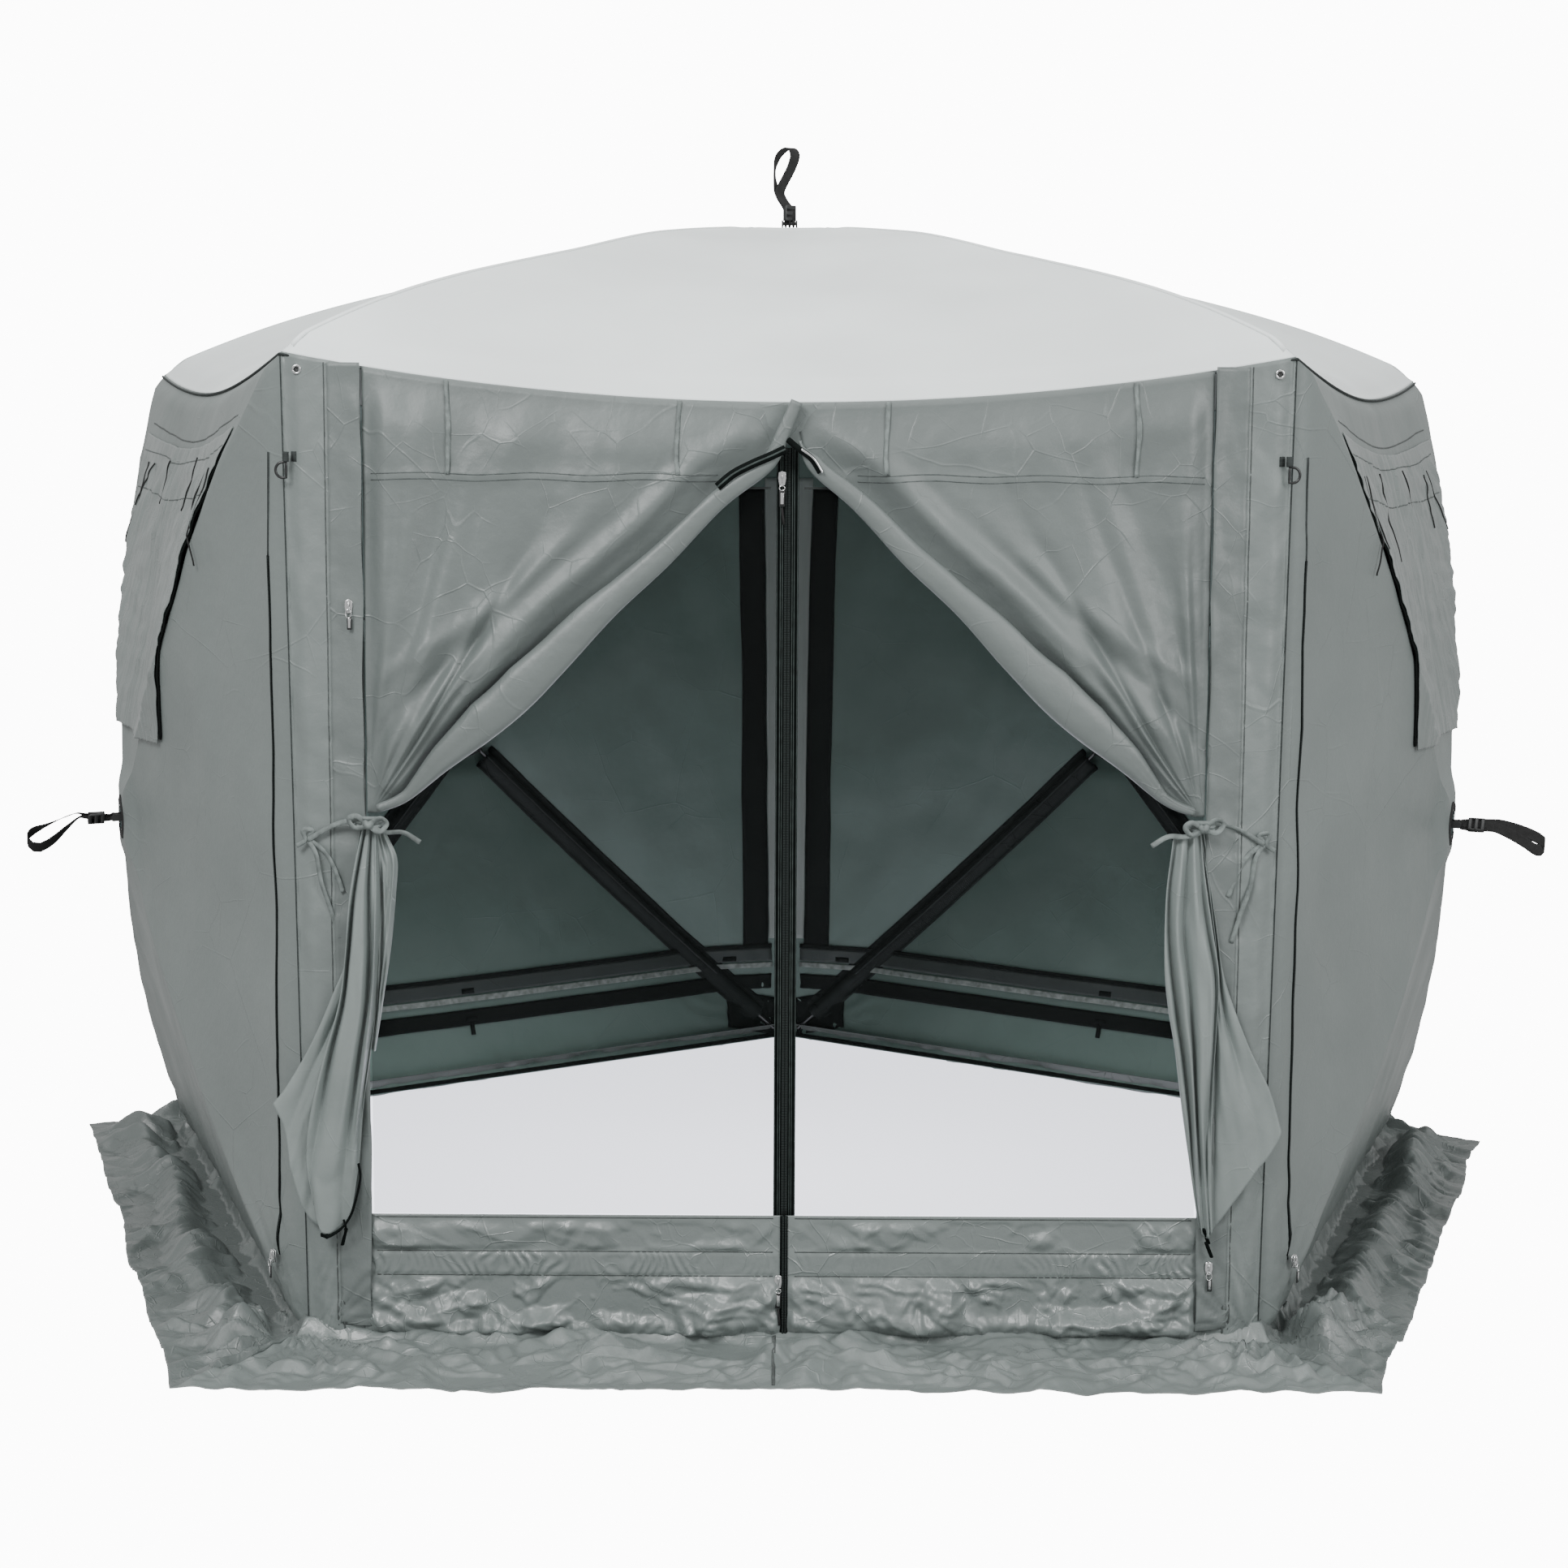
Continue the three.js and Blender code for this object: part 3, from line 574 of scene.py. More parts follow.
class Look:
    """A material's node tree, with short names for what these materials use."""

    def __init__(self, name, colour, rough, metal=0.0, specular=0.5):
        self.material = bpy.data.materials.new(name)
        self.material.use_nodes = True
        self.tree = self.material.node_tree
        self.shader = self.tree.nodes["Principled BSDF"]
        self.shader.inputs["Base Color"].default_value = (*colour, 1)
        self.shader.inputs["Roughness"].default_value = rough
        self.shader.inputs["Metallic"].default_value = metal
        self.shader.inputs["Specular IOR Level"].default_value = specular
        self.height = None
        self.place = self.add("ShaderNodeTexCoord")

    def add(self, kind, **settings):
        node = self.tree.nodes.new(kind)
        for key, value in settings.items():
            if key in node.inputs:
                node.inputs[key].default_value = value
            else:
                setattr(node, key, value)
        return node

    def link(self, a, b):
        self.tree.links.new(a, b)

    def noise(self, scale, detail, stretch=(1, 1, 1)):
        mapping = self.add("ShaderNodeMapping")
        mapping.inputs["Scale"].default_value = stretch
        self.link(self.place.outputs["Object"], mapping.inputs["Vector"])
        node = self.add("ShaderNodeTexNoise")
        node.inputs["Scale"].default_value = scale
        node.inputs["Detail"].default_value = detail
        self.link(mapping.outputs[0], node.inputs["Vector"])
        return node.outputs["Fac"]

    def creases(self, scale, width, bend=0.08):
        """Sharp lines of old folds: 1 on a line, 0 off it, and not everywhere."""
        warp = self.add("ShaderNodeTexNoise")
        warp.inputs["Scale"].default_value = scale * 0.7
        self.link(self.place.outputs["Object"], warp.inputs["Vector"])
        mix = self.add("ShaderNodeVectorMath", operation="MULTIPLY_ADD")
        mix.inputs[1].default_value = (bend, bend, bend)
        self.link(warp.outputs["Color"], mix.inputs[0])
        self.link(self.place.outputs["Object"], mix.inputs[2])
        cells = self.add("ShaderNodeTexVoronoi", feature="DISTANCE_TO_EDGE")
        cells.inputs["Scale"].default_value = scale
        self.link(mix.outputs[0], cells.inputs["Vector"])
        near = self.remap(cells.outputs["Distance"], 0, width * scale, 1, 0)
        some = self.remap(self.noise(scale * 0.9, 1), 0.45, 0.62, 0, 1)
        return self.times(near, some)

    def remap(self, value, low, high, to_low, to_high):
        node = self.add("ShaderNodeMapRange")
        for key, number in zip(("From Min", "From Max", "To Min", "To Max"),
                               (low, high, to_low, to_high)):
            node.inputs[key].default_value = number
        self.link(value, node.inputs["Value"])
        return node.outputs[0]

    def times(self, a, b):
        node = self.add("ShaderNodeMath", operation="MULTIPLY")
        for socket, value in zip(node.inputs, (a, b)):
            if isinstance(value, (int, float)):
                socket.default_value = value
            else:
                self.link(value, socket)
        return node.outputs[0]

    def threads(self, direction, period):
        """Parallel threads on the cloth's own coordinates, 0 to 1."""
        wave = self.add("ShaderNodeTexWave", wave_type="BANDS", bands_direction=direction)
        wave.inputs["Scale"].default_value = WAVE_LENGTH / period
        self.link(self.place.outputs["UV"], wave.inputs["Vector"])
        return wave.outputs["Fac"]

    def weave(self, period):
        return self.times(self.threads("X", period), self.threads("Y", period))

    def bump(self, height, distance):
        node = self.add("ShaderNodeBump")
        node.inputs["Distance"].default_value = distance
        self.link(height, node.inputs["Height"])
        if self.height is not None:
            self.link(self.height, node.inputs["Normal"])
        self.height = node.outputs[0]
        self.link(self.height, self.shader.inputs["Normal"])
        return self

    def vary(self, dark, light, value):
        """Colour between dark and light by a value."""
        ramp = self.add("ShaderNodeValToRGB")
        stops = ramp.color_ramp.elements
        for stop, position, colour in zip(stops, (0.3, 0.7), (dark, light)):
            stop.position = position
            stop.color = (*colour, 1)
        self.link(value, ramp.inputs[0])
        self.link(ramp.outputs[0], self.shader.inputs["Base Color"])
        return self

    def paler_along(self, lines, colour, share):
        """A paler colour along the lines."""
        mix = self.add("ShaderNodeMix", data_type="RGBA")
        base = self.shader.inputs["Base Color"]
        self.link(self.times(lines, share), mix.inputs[0])
        self.link(base.links[0].from_socket, mix.inputs[6])
        mix.inputs[7].default_value = (*colour, 1)
        self.link(mix.outputs[2], base)
        return self

    def rough_between(self, value, low, high):
        self.link(self.remap(value, 0.3, 0.7, low, high), self.shader.inputs["Roughness"])
        return self


def shade(colour, by):
    return tuple(c * by for c in colour)


def coated_cloth(name, colour, rough=0.5, crease=1.0, scale=3.2, specular=0.5):
    look = Look(name, colour, rough, specular=specular)
    look.vary(shade(colour, 0.93), shade(colour, 1.07), look.noise(2.3, 3))
    look.rough_between(look.noise(5, 2), rough - 0.06, rough + 0.08)
    long_lines = look.creases(scale, 0.0021)
    short_lines = look.creases(scale * 2.3, 0.0015, bend=0.04)
    # paler colour along the crease lines
    look.paler_along(long_lines, shade(colour, 1.35), 0.15 * crease)
    look.paler_along(short_lines, shade(colour, 1.30), 0.12 * crease)
    look.bump(long_lines, 0.0007 * crease)
    look.bump(short_lines, 0.0005 * crease)
    look.bump(look.noise(38, 3), 0.0012 * crease)
    look.bump(look.weave(0.0011), 0.00006)
    return look.material


def woven(name, colour, rough=0.8, period=0.0022, specular=0.3):
    look = Look(name, colour, rough, specular=specular)
    look.vary(shade(colour, 0.7), shade(colour, 1.3), look.noise(60, 2))
    look.bump(look.weave(period), 0.0004)
    look.bump(look.noise(300, 2), 0.0002)
    return look.material


def insect_mesh(name, colour, cover):
    look = Look(name, colour, 0.75, specular=0.2)
    look.shader.inputs["Alpha"].default_value = cover
    look.vary(shade(colour, 0.8), shade(colour, 1.2), look.noise(6, 2))
    look.bump(look.weave(0.0018), 0.0001)
    return look.material


def metal(name, colour, rough):
    look = Look(name, colour, rough, metal=1.0)
    look.rough_between(look.noise(400, 2), rough * 0.7, rough * 1.4)
    look.bump(look.noise(800, 1), 0.00005)
    return look.material


def moulded(name, colour, rough=0.45):
    look = Look(name, colour, rough)
    look.vary(shade(colour, 0.85), shade(colour, 1.15), look.noise(40, 2))
    look.bump(look.noise(900, 2), 0.00008)
    return look.material


def drawn_rod(name, colour):
    look = Look(name, colour, 0.3)
    look.vary(shade(colour, 0.8), shade(colour, 1.25), look.noise(90, 3, (1, 1, 0.05)))
    look.bump(look.noise(500, 2, (1, 1, 0.1)), 0.00006)
    return look.material


def zip_teeth(name, colour):
    """Moulded coil across the tape: ribs along V."""
    look = Look(name, colour, 0.55, specular=0.2)
    ribs = look.threads("Y", 0.003)
    # colour darker in the grooves and paler on the ribs, following the bump: painted shade and
    # highlight
    look.vary(shade(colour, 0.5), shade(colour, 1.8), ribs)
    look.bump(ribs, 0.0008)
    return look.material


WALL_COLOUR = (0.150, 0.173, 0.167)
LINING_COLOUR = (0.168, 0.248, 0.224)
ROOF_COLOUR = (0.68, 0.725, 0.72)
WALL = coated_cloth("wall_cloth", WALL_COLOUR, 0.45, crease=1.3)
# the wall cloth made darker for the door and storm flaps: painted shade against the stronger light
# they face
FLAP = coated_cloth("flap_cloth", shade(WALL_COLOUR, 0.82), 0.42, crease=1.2, scale=4.5)
# the wall cloth a little darker for the sill, front skirt and wind panels: painted shade tuned to the
# light they get
RUMPLED = coated_cloth("rumpled_cloth", shade(WALL_COLOUR, 0.98), 0.32, crease=1.3, scale=9,
                       specular=0.75)
# the wall cloth made darker for the side skirts: painted shade for cloth lying low beside the walls
SKIRT_CLOTH = coated_cloth("skirt_cloth", shade(WALL_COLOUR, 0.72), 0.34, crease=1.3, scale=12,
                           specular=0.7)
# the wall cloth made paler for the hanging bundles: painted light against the shade in their folds
GATHERED = coated_cloth("gathered_cloth", shade(WALL_COLOUR, 1.28), 0.42, crease=0.8)
LINING = coated_cloth("wall_lining", LINING_COLOUR, 0.6, crease=0.7)
ROOF_CLOTH = coated_cloth("roof_cloth", ROOF_COLOUR, 0.5, crease=0.45, scale=2.2)
ROOF_LINING = coated_cloth("roof_lining", (0.35, 0.36, 0.36), 0.6, crease=0.5)
# paler lining for strips in the back corners: painted light against the shade in those corners
PALE_LINING = coated_cloth("corner_lining", (0.42, 0.46, 0.45), 0.6, crease=0.5)
SHADED = coated_cloth("shaded_band", (0.030, 0.040, 0.037), 0.7, crease=0.4)
PALE_TAPE = woven("pale_tape", (0.36, 0.40, 0.39), 0.6)
EDGE_TAPE = woven("zip_edge", (0.040, 0.054, 0.050), 0.6)
MESH = insect_mesh("screen_net", (0.0015, 0.0030, 0.0026), 0.17)
# near-black bands inside the walls; also a painted shadow strip under the wind panels' side edges
DARK_BAND_AND_SHADOW = coated_cloth("dark_band", (0.0016, 0.0034, 0.0028), 0.8, crease=0.4, specular=0.15)
SLEEVE = coated_cloth("pole_sleeve", (0.003, 0.006, 0.005), 0.7, crease=1.2, scale=12,
                      specular=0.2)
BINDING = woven("binding", (0.030, 0.036, 0.035))
RIBBON = woven("ribbon", shade(WALL_COLOUR, 1.1), 0.6, 0.0014)
WEBBING = woven("webbing", (0.012, 0.012, 0.012), 0.75)
SEAM = woven("seam", shade(WALL_COLOUR, 0.55), 0.6, 0.001)
THREAD = woven("thread", (0.075, 0.085, 0.082), 0.6, 0.001)
ZIP_TAPE = woven("zip_tape", (0.0025, 0.0045, 0.004), 0.7, 0.0015, 0.08)
ZIP_COIL = zip_teeth("zip_coil", (0.008, 0.012, 0.011))
CHROME = metal("bright_metal", (0.66, 0.67, 0.67), 0.2)
BLACK_METAL = moulded("painted_metal", (0.012, 0.013, 0.013), 0.3)
PLASTIC = moulded("hub_plastic", (0.015, 0.016, 0.016))
ROD = drawn_rod("fibreglass_rod", (0.02, 0.021, 0.021))

# ---------------------------------------------------------------- camera and light


LENS = 70.07
SENSOR = 36
SHIFT = -0.003
PITCH, ROLL = 7.159, 0.3036  # degrees: down, and about the way it looks
CAMERA_X, CAMERA_BACK, CAMERA_HEIGHT = 0.0046, 6.7445, 1.7424
SKY_AS_LIGHT, SKY_AS_SEEN = 0.66, 12.0
FLOOR_GLOW = 2.9


def add_camera():
    data = bpy.data.cameras.new("camera")
    data.lens = LENS
    data.sensor_width = SENSOR
    data.shift_x = SHIFT
    pitch, roll = math.radians(PITCH), math.radians(ROLL)
    camera = bpy.data.objects.new("camera", data)
    turn = Matrix.Rotation(math.pi / 2 - pitch, 4, "X") @ Matrix.Rotation(roll, 4, "Z")
    camera.matrix_world = Matrix.Translation((CAMERA_X, CENTRE_Y - CAMERA_BACK, CAMERA_HEIGHT)) @ turn
    bpy.context.scene.collection.objects.link(camera)
    bpy.context.scene.camera = camera


def add_light(name, at, look_at, size, power, spread=180):
    data = bpy.data.lights.new(name, "AREA")
    data.shape = "RECTANGLE"
    data.size, data.size_y = size
    data.energy = power
    data.spread = math.radians(spread)
    light = bpy.data.objects.new(name, data)
    light.location = at
    aim = Vector(look_at) - Vector(at)
    light.rotation_euler = aim.to_track_quat("-Z", "Y").to_euler()
    bpy.context.scene.collection.objects.link(light)


def add_studio():
    world = bpy.data.worlds.new("studio")
    world.use_nodes = True
    tree = world.node_tree
    lit = tree.nodes["Background"]
    seen = tree.nodes.new("ShaderNodeBackground")
    for sky, strength in ((lit, SKY_AS_LIGHT), (seen, SKY_AS_SEEN)):
        sky.inputs["Color"].default_value = (1, 1, 1, 1)
        sky.inputs["Strength"].default_value = strength
    path = tree.nodes.new("ShaderNodeLightPath")
    mix = tree.nodes.new("ShaderNodeMixShader")
    tree.links.new(path.outputs["Is Camera Ray"], mix.inputs["Fac"])
    tree.links.new(lit.outputs[0], mix.inputs[1])
    tree.links.new(seen.outputs[0], mix.inputs[2])
    tree.links.new(mix.outputs[0], tree.nodes["World Output"].inputs["Surface"])
    bpy.context.scene.world = world
    floor_look = Look("studio_floor", (0.12, 0.12, 0.125), 0.9)
    floor_look.vary((0.12, 0.12, 0.125), (0.13, 0.13, 0.135), floor_look.noise(3, 2))
    floor_look.shader.inputs["Emission Color"].default_value = (0.88, 0.90, 1.0, 1)
    floor_look.shader.inputs["Emission Strength"].default_value = FLOOR_GLOW
    radius = (SKIRT_INNER + 0.05) / math.cos(HALF_ANGLE)
    corners = []
    for i in range(SIDES):
        angle = math.pi / 2 + 2 * HALF_ANGLE * i
        corners.append((radius * math.cos(angle), CENTRE_Y + radius * math.sin(angle), 0))
    floor = make("floor", corners, [tuple(range(SIDES))], [floor_look.material])
    floor.visible_diffuse = False  # it is seen through the screens but doesn't light the cloth
    add_light("key", (-2.8, -6.0, 5.4), (0, 0, 0.8), (2.6, 2.2), 430)
    add_light("fill", (4.5, -5.5, 3.4), (0, 0, 0.9), (3, 3), 250)
    add_light("top", (0, CENTRE_Y, 6.5), (0, CENTRE_Y, 0), (5, 5), 260)
    add_light("inside", (0, CENTRE_Y - 0.1, 1.48), (0, CENTRE_Y - 0.1, 0), (1.5, 1.2), 30, 75)


# ---------------------------------------------------------------- roof and hub walls


def ring_steps(inner, count):
    """Places from a panel's edge, 0, to its hole, closer together near the edge."""
    return np.concatenate([[0, 0.004, 0.01], np.linspace(0.02, inner, count)])


def edge_walk(corners, cells, dip=None):
    """Points round a panel's outline, with its corners on whole columns."""
    points = []
    for i, (start, end) in enumerate(zip(corners, corners[1:] + corners[:1])):
        s = np.arange(cells) / cells
        x = start[0] + (end[0] - start[0]) * s
        y = start[1] + (end[1] - start[1]) * s
        if dip == i:
            y = eave_y(x)
        points.append(np.stack([x, y], -1))
    return np.concatenate(points)


def canvas(name, panel, outline, face, inner, material, lining):
    """A panel's cloth on rings that shrink from its outline to the hole over its hub."""
    k = 1 - ring_steps(inner, 58)
    flat = outline[None] * k[:, None, None]
    grid = raised(flat, face(flat[..., 0], flat[..., 1]))
    return cloth(name, panel.world(grid), material, facing=panel.z, uv=flat, ring=True,
                 lining=lining)


def wall_canvas(name, seed):
    corners = [(BASE_HALF, -DOWN), (EAVE_HALF, UP), (-EAVE_HALF, UP), (-BASE_HALF, -DOWN)]
    outline = edge_walk(corners, 104, dip=1)

    def face(x, y):
        return wall_z(x, y, seed)

    piece = canvas(f"{name}_canvas", PANELS[name], outline, face, 1 - STRAP_HOLE / BASE_HALF,
                   WALL, LINING)
    follows(piece, name, stands_for=[f"{name}_wall"])
    return face


def roof_canvas():
    radius = EAVE_HALF / math.sin(HALF_ANGLE)
    angles = [math.pi / 2 + 2 * HALF_ANGLE * i for i in range(SIDES)]
    corners = [(radius * math.cos(a), radius * math.sin(a)) for a in angles]
    inner = 1 - STRAP_HOLE / EAVE_APOTHEM
    piece = canvas("roof_cloth", ROOF, edge_walk(corners, 104), roof_z, inner, ROOF_CLOTH,
                   ROOF_LINING)
    follows(piece, "roof", ["roof_canopy"])
    outline = edge_walk(corners, 60) * 1.0035
    z = roof_z(outline[:, 0] * 0.999, outline[:, 1] * 0.999) - 0.004
    fixed(tube("roof_piping", ROOF.world(raised(outline, z)), 0.0024, BINDING, closed=True))
    for i, (x, y) in enumerate(corners):
        path = [(x * k, y * k) for k in (0.985, 0.8, 0.6, 0.4, 0.2, 0.09)]
        seam = strip(f"roof_ridge_seam_{i + 1}", ROOF, roof_z, path, 0.016, ROOF_CLOTH, 0.0010)
        follows(seam, "roof")


def hub_patch(name, face, radius):
    """Reinforcement disc sewn over a hub."""
    angle = around(40)
    r = np.linspace(radius, STRAP_HOLE + 0.004, 7)[:, None]
    flat = np.stack([r * np.cos(angle), r * np.sin(angle)], -1)
    z = face(flat[..., 0], flat[..., 1]) + 0.0016
    panel = PANELS[name]
    grid = panel.world(raised(flat, z))
    piece = cloth(f"{name}_hub_patch", grid, WEBBING, facing=panel.z, ring=True)
    follows(piece, name)


# Where the inner bands of a back wall run, in its own x (away from the middle) and y.
WINDOW_SIDE = 0.810
WINDOW_SIDE_WIDTH = 0.068
WINDOW_TOP = 0.63
CORNER_STRIP = 0.866
CORNER_STRIP_WIDTH = 0.040
WINDOW_FOOT = -0.620
FOOT_TAPE = -0.672
FOOT_BAND = -0.718
FOOT_BAND_WIDTH = 0.040
SLEEVE_WIDTH = 0.070


def inner_band(name, label, face, path, width, material, lift=0.0030):
    panel = PANELS[name]
    piece = strip(f"{name}_{label}", panel, face, path, width, material, lift=lift, thick=0.0008,
                  cells=6, inside=True)
    follows(piece, name)


def wall_inside(name, face):
    """Linings and bands on the inner face of a hub wall, and the sleeves of its poles."""
    for end, side in PANEL_ENDS:
        x = side * WINDOW_SIDE
        inner_band(name, f"window_side_{end}", face, [(x, WINDOW_FOOT), (x, 0), (x, WINDOW_TOP)],
                   WINDOW_SIDE_WIDTH, DARK_BAND_AND_SHADOW)
        # pale strip beside each corner: painted light where the corner lies in shade
        x = side * CORNER_STRIP
        inner_band(name, f"corner_strip_{end}", face, [(x, WINDOW_FOOT + 0.02), (x, 0), (x, 0.66)],
                   CORNER_STRIP_WIDTH, PALE_LINING, 0.0022)
        for level, corner in (("upper", (EAVE_HALF, UP)), ("lower", (BASE_HALF, -DOWN))):
            far = 0.92 if level == "lower" else 0.9
            path = [(side * corner[0] * k, corner[1] * k) for k in (0.07, 0.3, 0.6, far)]
            pole_sleeve(name, f"{level}_{end}", path, face, SLEEVE if level == "lower" else LINING)
    front_end = {"left": "high_x", "right": "low_x"}.get(name)
    wide = 0.80 if front_end else BASE_HALF - 0.03

    def across(y, half=wide):
        return [(-half, y), (-half / 2, y), (0, y), (half / 2, y), (half, y)]

    inner_band(name, "window_foot", face, across(WINDOW_FOOT), 0.011, DARK_BAND_AND_SHADOW, 0.0048)
    inner_band(name, "foot_fill", face, across(-0.643), 0.036, SHADED)
    inner_band(name, "foot_tape", face, across(FOOT_TAPE), 0.014, PALE_TAPE, 0.0050)
    inner_band(name, "foot_band", face, across(FOOT_BAND), FOOT_BAND_WIDTH, DARK_BAND_AND_SHADOW)
    inner_band(name, "foot_hem", face, across(-DOWN + 0.008, 0.86), 0.009, DARK_BAND_AND_SHADOW)
    for end, side in PANEL_ENDS:
        path = [(side * (BASE_HALF - 0.02), -DOWN + 0.055), (side * 0.72, -DOWN + 0.09)]
        if end != front_end:
            inner_band(name, f"corner_gusset_{end}", face, path, 0.10, DARK_BAND_AND_SHADOW)
        toggle(name, face, side * 0.74, end)
    toggle(name, face, 0.075 * (1 if name != "back_right" else -1), "middle")


def toggle(name, face, x, label):
    """Small keeper for a rolled window: a bar on the tape and a tab below the band."""
    panel = PANELS[name]
    for part, y, w, h in (("bar", -0.652, 0.036, 0.013), ("head", -0.722, 0.034, 0.013),
                          ("tail", -0.744, 0.012, 0.036)):
        path = [(x, y - h / 2), (x, y), (x, y + h / 2)]
        piece = strip(f"{name}_toggle_{label}_{part}", panel, face, path, w, DARK_BAND_AND_SHADOW, 0.004,
                      0.002, h / 4, inside=True)
        follows(piece, name)


def pole_sleeve(name, label, path, face, material):
    """Pocket round a pole, sewn along both its sides to the inner face of the wall."""
    panel = PANELS[name]
    line = through(path, 90)
    along = unit(line[-1] - line[0])
    beside = np.array([-along[1], along[0]])
    across = np.array([-0.5, -0.42, -0.30, -0.22, -0.12, 0, 0.12, 0.22, 0.30, 0.42, 0.5])
    deep = np.array([0, 0, 0.15, 0.62, 0.93, 1, 0.93, 0.62, 0.15, 0, 0])
    p = line[:, None] + beside * across[None, :, None] * SLEEVE_WIDTH
    t, _ = wall_place(line[:, 0], line[:, 1])
    pole = stand_out(t, WALL_BULGE, WALL_BOW) - 0.0095
    skin = face(p[..., 0], p[..., 1]) - CLOTH - 0.0025
    pucker = 0.0012 * noise(np.arange(90)[:, None] / 2.6, across[None] * 4, 5)
    z = skin * (1 - deep) + np.minimum(skin, pole[:, None] + pucker) * deep
    grid = panel.world(raised(p, z + pucker * deep))
    piece = cloth(f"{name}_sleeve_{label}", grid, material, facing=-panel.z, thick=0.0008)
    follows(piece, name)
    seam = [tuple(q) for q in line[::15]]
    middle = strip(f"{name}_sleeve_seam_{label}", panel, sleeve_face(line, z), seam, 0.004, BINDING,
                   0.0006, inside=True)
    follows(middle, name)


def sleeve_face(line, z):
    """Height of a sleeve's crown along its middle line."""
    direction = unit(line[-1] - line[0])
    reach = (line - line[0]) @ direction
    crown = z[:, z.shape[1] // 2]

    def height(x, y):
        return np.interp((x - line[0, 0]) * direction[0] + (y - line[0, 1]) * direction[1],
                         reach, crown) + CLOTH

    return height


def corner_bindings():
    """Taped seams down the five upright corners, where two walls' cloth meets."""
    radius_top = EAVE_HALF / math.sin(HALF_ANGLE)
    radius_foot = radius_top * BASE_TO_EAVES
    for i in range(SIDES):
        angle = math.pi / 2 + 2 * HALF_ANGLE * i
        out = np.array([math.cos(angle), math.sin(angle), 0])
        beside = np.array([-out[1], out[0], 0])
        rows = 90
        h = np.linspace(GROUND_GAP, CORNER_HEIGHT - 0.004, rows)
        radius = radius_foot + (radius_top - radius_foot) * h / CORNER_HEIGHT
        ripple = 0.0010 * noise(h / 0.021, h * 0, 31 + i)
        centre = np.array([0, CENTRE_Y, 0]) + out * (radius + 0.0028)[:, None]
        centre[:, 2] = h
        wing = np.array([-0.011, -0.006, 0, 0.006, 0.011])
        back = -np.abs(wing) * math.tan(HALF_ANGLE) + 0.0006
        grid = (centre[:, None] + beside * wing[None, :, None] + out * back[None, :, None]
                + out * ripple[:, None, None])
        piece = cloth(f"corner_binding_{i + 1}", grid, WALL, facing=out, thick=0.0015)
        fixed(piece)
        fixed(tube(f"corner_seam_{i + 1}", centre + out * 0.0012, 0.0011, BINDING, sides=6))


# ---------------------------------------------------------------- front wall


def front_z(x, y):
    """Outer face of the front cloth: it meets the corner posts and stands off the door plane."""
    x, y = np.asarray(x, float), np.asarray(y, float)
    edge = EDGE_AT_HUB + EDGE_LEAN * y
    inward = edge - np.abs(x)
    base = 0.002 + (FRONT_FACE - 0.002) * smooth(inward, 0, 0.035)
    slack = 0.0024 * noise(x * 16, y * 2.2, 41) + 0.0130 * (facets(x, y * 0.7, 42, 0.11, 3) - 0.2)
    slack = slack + 0.007 * pleats(inward, y + DOWN, 14, 0.10, 44)
    seam = np.abs(np.abs(x) - 0.822)
    pucker = 0.0013 * noise(y / 0.016, x * 30, 43) * bell(seam, 0, 0.014)
    ridge = 0.0022 * bell(seam, 0, 0.006)
    return base + (slack + pucker + ridge) * smooth(inward, 0, 0.02)


def front_part(name, left, right, bottom, top, columns, rows):
    """A stretch of front cloth between x limits that may lean, from one height to another."""
    v, u = shares(rows, columns)
    level = bottom + (UP - bottom) * v
    x = left(level) + (right(level) - left(level)) * u
    y = bottom + (top(x) - bottom) * v
    grid = FRONT.world(np.stack([x, y, front_z(x, y)], -1))
    return cloth(name, grid, WALL, facing=FRONT.z, lining=LINING)


def front_wall():
    parts = []
    for label, side in DOOR_SIDES:
        def outer(y, s=side):
            return s * (EDGE_AT_HUB + EDGE_LEAN * y)

        def inner(y, s=side):
            return s * (DOOR_HALF + 0.004) + 0 * y

        left, right = (outer, inner) if side < 0 else (inner, outer)
        parts.append(front_part(f"front_jamb_{label}", left, right, -DOWN, eave_y, 26, 230))
    header = front_part(
        "front_header", lambda y: -DOOR_HALF + 0 * y, lambda y: DOOR_HALF + 0 * y,
        front_y(DOOR_TOP + 0.006), eave_y, 110, 14,
    )
    parts.append(header)
    for piece in parts:
        fixed(piece)
    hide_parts("front_wall")


def corner_details():
    """Seams, storm flaps and grommets beside the door."""
    for label, side in DOOR_SIDES:
        low, high = -DOWN + 0.01, float(eave_y(0.822)) - 0.004
        heights = np.linspace(low, high, 7)
        for k, x in enumerate((0.816, 0.828)):
            path = [(side * x, y) for y in heights]
            fixed(strip(f"jamb_stitching_{label}_{k + 1}", FRONT, front_z, path, 0.0022, THREAD,
                        0.0005, 0.0008))
        storm_flap(label, side, low + 0.015, high)
        x, y = side * 0.876, float(eave_y(0.876)) - 0.026
        ring = around(24)
        eyelet = np.stack([x + 0.0068 * np.cos(ring), y + 0.0068 * np.sin(ring),
                           front_z(x, y) + 0.0018 + 0 * ring], -1)
        fixed(tube(f"grommet_{label}", FRONT.world(eyelet), 0.0023, CHROME, 10, closed=True))
        hole = np.stack([x + 0.0052 * np.cos(ring), y + 0.0052 * np.sin(ring)], -1)
        shrink = np.array([1.0, 0.5, 0.1])[:, None, None]
        flat = np.array([x, y]) + (hole - [x, y])[None] * shrink
        z = front_z(x, y) + 0.0009 + 0 * flat[..., :1]
        disc = cloth(f"grommet_hole_{label}", FRONT.world(np.concatenate([flat, z], -1)), PLASTIC,
                     facing=FRONT.z, ring=True, thick=0.0006)
        fixed(disc)


